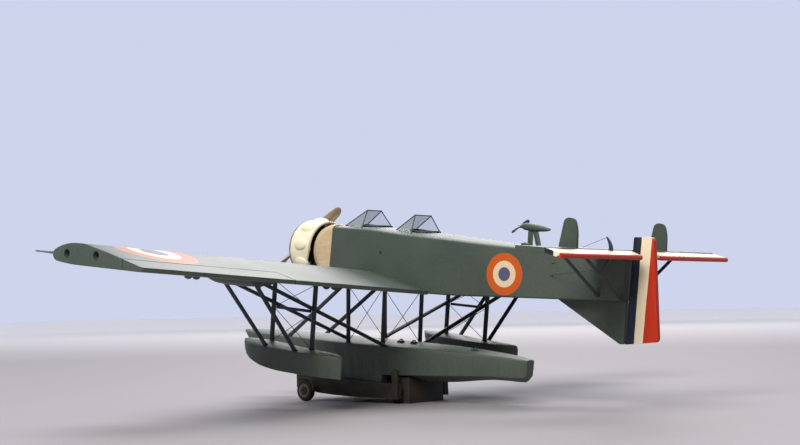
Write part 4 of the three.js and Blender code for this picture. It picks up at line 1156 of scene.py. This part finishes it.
tail_half = [[TAIL_LE_X, TAIL_HALF_SPAN], [ELEVATOR_HINGE_X + ELEVATOR_GAP, TAIL_HALF_SPAN],
             [ELEVATOR_HINGE_X + ELEVATOR_GAP, ELEVATOR_INNER_Y], [RUDDER_HINGE_X + 0.4, ELEVATOR_INNER_Y]]
tail_outline = tail_half + [[x, -y] for x, y in tail_half[::-1]]
tail_outline = plate_outline(tail_outline, [1.0] + [0.05] * 6 + [1.0])
tail = slab(tail_outline, TAIL_BOTTOM_Z, TAIL_TOP_Z, "z")
make("tailplane_panel", [tail], AIRFRAME, replaces=["tailplane"], rounding=0.28)


def elevator_skin():
    """Section rings across the span, drooped at the trailing edge, which is a half round; the chord
    shortens towards the inner corner."""
    y = np.array([ELEVATOR_INNER_Y, 2.3, 2.7, 3.2, 3.7, 8, 14, 20, 26, 29.6, 30.5, 30.95, TAIL_HALF_SPAN])
    inner = np.clip((y - ELEVATOR_INNER_Y) / 1.6, 0.04, 1.0)
    outer = np.array([1.0] * 9 + [1.0, 0.995, 0.985, 0.97])
    chord = ELEVATOR_HINGE_X - TAIL_TE_X
    reach = (chord * inner * outer)[:, None]
    straight = (reach - ELEVATOR_EDGE).clip(0.05)
    droop = ELEVATOR_DROOP * straight / (chord - ELEVATOR_EDGE)
    turn = np.linspace(np.pi / 2, 3 * np.pi / 2, 9)
    share = np.linspace(0, 1, 7)[:-1]
    back = np.concatenate([share, np.ones(9), share[::-1]])
    bulge = np.concatenate([0 * share, ELEVATOR_EDGE * np.cos(turn), 0 * share])
    level = np.concatenate([1 + 0 * share, np.sin(turn), 0 * share - 1])
    x = ELEVATOR_HINGE_X - straight * back + bulge * np.minimum(1, reach / 0.7)
    z = ELEVATOR_MIDDLE_Z + ELEVATOR_HALF_DEPTH * level - droop * back
    return skin(grid_of(x, y[:, None], z))


def horn_outline():
    """A crescent between two quadratic curves that almost share their ends."""
    t = np.linspace(0, 1, 14)[:, None]
    tip, foot = np.array([-50.5, 41.55]), np.array([-49.9, 35.1])
    hollow = curve(tip, np.array([-52.5, 39.0]), foot, t)
    back = curve(foot - (0.25, 0.05), np.array([-53.9, 39.0]), tip - (0.25, -0.05), t)
    return np.concatenate([hollow, back])


make_pair("elevator_panel", [elevator_skin()], STRIPES, node="elevator", slot="stripe_paint", crease=40)
horn = slab(horn_outline(), HORN_Y - HORN_HALF, HORN_Y + HORN_HALF)
make("elevator_horn", [horn], HORN, slot="strut_paint", rounding=0.08)

aux_outline = plate_outline([[-44.3, TAIL_TOP_Z - 0.05], [-45.35, 44.75], [-47.5, 44.8], [-48.25, 42.6],
                             [-48.35, TAIL_TOP_Z - 0.05]], [0.05, 1.6, 1.1, 1.6, 0.05], 12)
aux_fin = slab(aux_outline, AUX_FIN_Y - AUX_FIN_HALF, AUX_FIN_Y + AUX_FIN_HALF)
make_pair("auxiliary_fin_panel", [aux_fin], AIRFRAME, node="auxiliary_fin", rounding=0.22)

fin_x = np.linspace(-33.5, STERNPOST_X + 0.1, 12)
fin_top = np.stack([fin_x, fuselage_at(fin_x)[3] + 0.1], axis=-1)
fin_foot = [[STERNPOST_X + 0.1, RUDDER_FOOT_Z], [STERNPOST_X + 1.2, RUDDER_FOOT_Z - 0.05]]
fin = slab(np.concatenate([fin_top, fin_foot]), -VENTRAL_FIN_HALF, VENTRAL_FIN_HALF)
make("ventral_fin_panel", [fin], AIRFRAME, replaces=["ventral_fin"], rounding=0.3, crease=50)

rudder_outline = plate_outline([[RUDDER_HINGE_X, RUDDER_FOOT_Z], [RUDDER_HINGE_X - 0.5, 41.75],
                                [-55.1, 41.95], [-57.35, 21.95]], [0.1, 0.3, 0.9, 0.9], 8)
rudder = slab(rudder_outline, -RUDDER_HALF, RUDDER_HALF)
make("rudder_panel", [rudder], STRIPES, slot="stripe_paint", replaces=["rudder"], rounding=0.3, crease=50)

TAIL_BRACES = {
    # foot x and z, head x and y
    "tail_brace_front": [-44.9, 29.8, -45.2, 17.5],
    "tail_brace_rear": [-49.75, 29.4, -49.95, 17.4],
}
for name, (foot_x, foot_z, head_x, head_y) in TAIL_BRACES.items():
    foot = (foot_x, float(fuselage_at(foot_x)[0][0]) - 0.1, foot_z)
    path = np.linspace(foot, (head_x, head_y, TAIL_BOTTOM_Z + 0.1), 6)
    stay = carried(path, streamline(0.8, 0.52), (1, 0, 0))
    make_pair(f"{name}_bar", [stay], STRUT, node=name, slot="strut_paint")

# Windscreens
FRAME_BAR_RADIUS = 0.12
FRAME_KNOT_RADIUS = 0.16
WINDSCREENS = {
    # front of the base, top and rear: x, half width and z of each
    "windscreen_front": [[23.05, 3.33, 40.2], [17.57, 2.36, 43.95], [16.35, 5.25, 40.1]],
    "windscreen_rear": [[8.0, 3.1, 40.0], [3.15, 2.75, 43.5], [1.95, 5.2, 39.5]],
}


def pane(corners, thickness=0.16):
    """A flat sheet of the given thickness, square to its own plane."""
    corners = np.asarray(corners, float)
    normal = np.cross(corners[1] - corners[0], corners[2] - corners[0])
    normal *= thickness / 2 / np.linalg.norm(normal)
    return skin(np.stack([corners - normal, corners + normal]))


over = np.array([1, -1, 1])
for name, corners in WINDSCREENS.items():
    base, top, rear = (np.array(corner) for corner in corners)
    front = [pane([base, base * over, top * over, top])]
    make(f"{name}_panes", front, FRONT_PANE, slot="clear_pane", replaces=[name])
    side_panes = [pane([base, top, rear]), pane([base * over, rear * over, top * over])]
    make(f"{name}_side_panes", side_panes, SIDE_PANE, slot="clear_pane")
    edges = [(base, base * over), (top, top * over)]
    edges += [(a * side, b * side) for a, b in ((base, top), (top, rear)) for side in (1, over)]
    frame_bars = [rod(a, b, FRAME_BAR_RADIUS, 10) for a, b in edges]
    for corner in (base, top, rear):
        frame_bars += [dome(corner * side, (FRAME_KNOT_RADIUS,) * 3, 12, 8) for side in (1, over)]
    make(f"{name}_frame", frame_bars, AIRFRAME)

# Generator behind the rear cockpit
POD = [[-23.65, 0], [-23.7, 0.35], [-23.9, 0.52], [-24.3, 0.68], [-25.0, 0.76], [-26.2, 0.79],
       [-28.0, 0.7], [-29.6, 0.5], [-30.6, 0.24], [-30.95, 0]]
POD_BLADE = [[0.05, 0.7, 0.45, 60], [0.3, 0.85, 0.32, 45], [0.6, 0.9, 0.25, 32],
             [0.85, 0.8, 0.2, 24], [0.985, 0.5, 0.16, 20]]
SPINNER = [[-23.62, 0], [-23.62, 0.34], [-23.0, 0.34], [-22.7, 0.2], [-22.6, 0]]
pod, pod_faces = turned(POD, (0, 0, POD_Z), steps=40)
pod[:, 2] += POD_SLOPE * (pod[:, 0] + 25.0)
pod_parts = [(pod, pod_faces)]
for foot_x, top_x in ((-25.95, -25.95), (-28.15, -26.9)):
    path = np.linspace((foot_x, 0, float(crown_z(foot_x, 0)[0]) - 0.1), (top_x, 0, POD_Z), 5)
    pod_parts.append(carried(path, streamline(1.3, 0.5), (1, 0, 0)))
make("generator_pod", pod_parts, AIRFRAME, replaces=["generator"])
pod_blades = two_bladed(POD_BLADE, POD_PROP_RADIUS, POD_PROP_X, POD_Z, POD_PROP_ANGLE, 0.88)
make("generator_blades", pod_blades, POD_WOOD, body="generator_propeller", slot="propeller_wood",
     replaces=["generator_propeller"], crease=50)
make("generator_spinner", [turned(SPINNER, (0, 0, POD_Z), steps=28)], METAL, body="generator_propeller",
     slot="engine_metal")


# Rigging

WIRE_RADIUS = 0.07
CONTROL_WIRE_RADIUS = 0.045
CONTROL_WIRES = [[(-50.6, HORN_Y, 41.4), (-39.0, 3.6, 38.25)], [(-34.9, 4.95, 33.1), (-50.1, HORN_Y, 35.4)]]
# x and z on the fuselage's side
CABLE_GUIDES = [[-35.1, 35.7], [-34.9, 33.1]]


def wire(start, end, radius=WIRE_RADIUS):
    return rod(start, end, radius, 8)


def strut_ends(name, side=1):
    """The foot and head of a strut in the table, on the side given: 1 is port, -1 starboard."""
    row = next(row for row in STRUTS if row[0] == name)
    _, foot_x, foot_y, head_x, head_y, foot_seat, head_seat = row[:7]
    return (np.array([foot_x, foot_y * side, seat_z(foot_seat, foot_x, foot_y)]),
            np.array([head_x, head_y * side, seat_z(head_seat, head_x, head_y)]))


wires = []
for name in ("fuselage_strut_front", "fuselage_strut_rear"):
    for side in (1, -1):
        wires.append(wire(strut_ends(name, side)[0], strut_ends(name, -side)[1]))
for side in (1, -1):
    front_foot, front_head = strut_ends("float_strut_front", side)
    rear_foot, rear_head = strut_ends("float_strut_rear", side)
    front_middle, rear_middle = ([*foot[:2], SPREADER_Z] for foot in (front_foot, rear_foot))
    wires += [wire(front_head, rear_middle), wire(rear_head, front_middle),
              wire(front_middle, rear_foot), wire(rear_middle, front_foot)]
make("bracing_wires", wires, WIRE, slot="strut_paint")
control_wires = [wire(*ends, CONTROL_WIRE_RADIUS) for ends in CONTROL_WIRES]
make("control_wires", control_wires, WIRE, slot="strut_paint")
cable_guides = [dome((x, 4.75, z), (0.4, 0.26, 0.16), 14, 8) for x, z in CABLE_GUIDES]
make("cable_guides", cable_guides, AIRFRAME)
make("deck_fairlead", [dome((-26.9, 3.0, 38.85), (1.15, 0.45, 0.4), 20, 12)], AIRFRAME)
make("side_filler_cap", [dome((9.3, 6.5, 34.95), (0.42, 0.12, 0.42), 20, 10)], STRUT, slot="strut_paint")


# Dolly

def from_solid(node, name, finish, rounding):
    """A copy of a solid of the frame with its corners merged, flat faces joined and edges eased."""
    piece = linked(name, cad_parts[node].data.copy())
    mend(piece.data, flat=1.0)
    paint_over(piece, finish)
    ease_edges(piece, rounding, 2, 35)
    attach(piece, "model")
    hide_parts(node)
    return piece


from_solid("dolly_frame", "dolly_frame_boards", DOLLY, 0.12)
from_solid("dolly_rear_block", "dolly_rear_box", DOLLY, 0.12)
for side in ("port", "starboard"):
    from_solid(f"dolly_chock_{side}", f"dolly_chock_board_{side}", DOLLY, 0.1)


def wheel_parts(y):
    """Tyre turned about the axle."""
    half = WHEEL_WIDTH / 2
    turn = np.linspace(-np.pi / 2, np.pi / 2, 20)
    tread = np.stack([half * np.sin(turn), WHEEL_RADIUS - 0.5 + 0.5 * np.cos(turn) ** 0.6], axis=-1)
    tyre = [[-half * 0.86, 1.5], *tread.tolist(), [half * 0.86, 1.5]]
    return turned(tyre + [tyre[0]], (AXLE_X, y, WHEEL_RADIUS), along="y", steps=72)


def disc_parts(y):
    """Disc and boss turned about the axle, with six nuts on each side."""
    half = WHEEL_WIDTH / 2
    rim = [[half - 0.1, 0.4], [half + 0.1, 0.4], [half + 0.1, 0.75], [half - 0.08, 0.85], [half - 0.05, 1.35],
           [half + 0.02, 1.55]]
    profile = [[-place, radius] for place, radius in rim] + rim[::-1]
    parts = [turned(profile + [profile[0]], (AXLE_X, y, WHEEL_RADIUS), along="y", steps=72)]
    for a in np.arange(6) * np.pi / 3:
        x, z = AXLE_X + NUT_CIRCLE * np.cos(a), WHEEL_RADIUS + NUT_CIRCLE * np.sin(a)
        parts += [dome((x, y + face * (half - 0.04), z), (0.12, 0.1, 0.12), 8, 6) for face in (-1, 1)]
    return parts


for side, y in (("port", WHEEL_Y), ("starboard", -WHEEL_Y)):
    make(f"dolly_tyre_{side}", [wheel_parts(y)], TYRE, body=f"wheel_{side}", slot="tyre", place=on_floor,
         replaces=[f"dolly_wheel_{side}"], crease=45)
    make(f"dolly_hub_{side}", disc_parts(y), HUB, body=f"wheel_{side}", slot="dolly_paint", place=on_floor,
         crease=35)


# Floor and light

FLOOR_REACH = 3000.0
FLOOR_FAR = 850
FLOOR_FADE = 1000
BACKDROP_WAY = (0.65, -0.76, 0.0)
BACKDROP_COLOUR = rgb(205, 212, 236)
ROOM_COLOUR = rgb(88, 88, 90)
LAMP_AIM = np.array([0, 0, 0.03])
OVERHEAD_WAY = (0.15, -0.22, 1.0)
OVERHEAD_STRENGTH = 1.75
OVERHEAD_SPREAD = np.radians(42.0)
# Place and size in metres, power in watts, colour
SOFT_LAMPS = {
    "far_side": [(0.5, -0.7, 0.5), 0.5, 3.0, (1.0, 0.97, 0.92)],
    "near_side": [(-0.2, 0.6, 0.52), 0.4, 6.8, (1.0, 0.96, 0.9)],
}


def floor():
    """A wide pale floor, slightly clouded, with painted light far off: it is paler where the lamps don't
    reach.
    """
    side = np.array([-FLOOR_REACH, FLOOR_REACH])
    points, faces = skin(grid_of(side, side[:, None], 0.0), around=False)
    mesh = bpy.data.meshes.new("floor")
    mesh.from_pydata((points * MM).tolist(), [], faces)
    plane = linked("floor", mesh)
    paint = Finish("floor_paint")
    cloud = paint.noise(scale=0.03, detail=3.0)
    x, y, _ = paint.axes()
    # Painted light: the far floor is painted paler, standing for light where the lamps don't reach.
    far = away(x, y).past(FLOOR_FAR, FLOOR_FADE)
    near_colour = paint.blend(cloud, rgb(138, 133, 136), rgb(150, 145, 147))
    far_painted_light = paint.blend(cloud, rgb(218, 215, 220), rgb(226, 223, 226))
    mesh.materials.append(paint.done(paint.blend(far, near_colour, far_painted_light), 0.6 + cloud * 0.2))


def studio():
    """A backdrop that is bright starboard and ahead, and falls off evenly to a dim room behind the port
    quarter."""
    world = bpy.data.worlds.new("studio")
    bpy.context.scene.world = world
    world.use_nodes = True
    room = Nodes(world.node_tree)
    way = room.node("ShaderNodeTexCoord").outputs["Generated"]
    towards = room.node("ShaderNodeVectorMath", {"operation": "DOT_PRODUCT"}, {0: way, 1: BACKDROP_WAY})
    share = Value(room, towards.outputs["Value"]).past(0.2, 1.2)
    sky = world.node_tree.nodes["Background"]
    room.join(room.blend(share, ROOM_COLOUR, BACKDROP_COLOUR), sky.inputs["Color"])
    sky.inputs["Strength"].default_value = 1.0


def add_lamp(name, kind, place, way, power, **settings):
    """A lamp at a place in metres, whose light comes from the way given."""
    lamp = bpy.data.lights.new(name, kind)
    lamp.energy = power
    for key, value in settings.items():
        setattr(lamp, key, value)
    backward = np.array(way) / np.linalg.norm(way)
    level = (0.0, 1.0, 0.0) if backward[2] > 0.95 else (0.0, 0.0, 1.0)
    right = np.cross(level, backward)
    right /= np.linalg.norm(right)
    posed(linked(name, lamp), right, np.cross(backward, right), backward, place)


floor()
studio()
add_lamp("overhead", "SUN", (0, 0, 0), OVERHEAD_WAY, OVERHEAD_STRENGTH, angle=OVERHEAD_SPREAD)
for name, (place, size, power, colour) in SOFT_LAMPS.items():
    add_lamp(name, "AREA", place, np.array(place) - LAMP_AIM, power, shape="SQUARE", size=size, color=colour)
bpy.context.scene.view_settings.view_transform = "Standard"
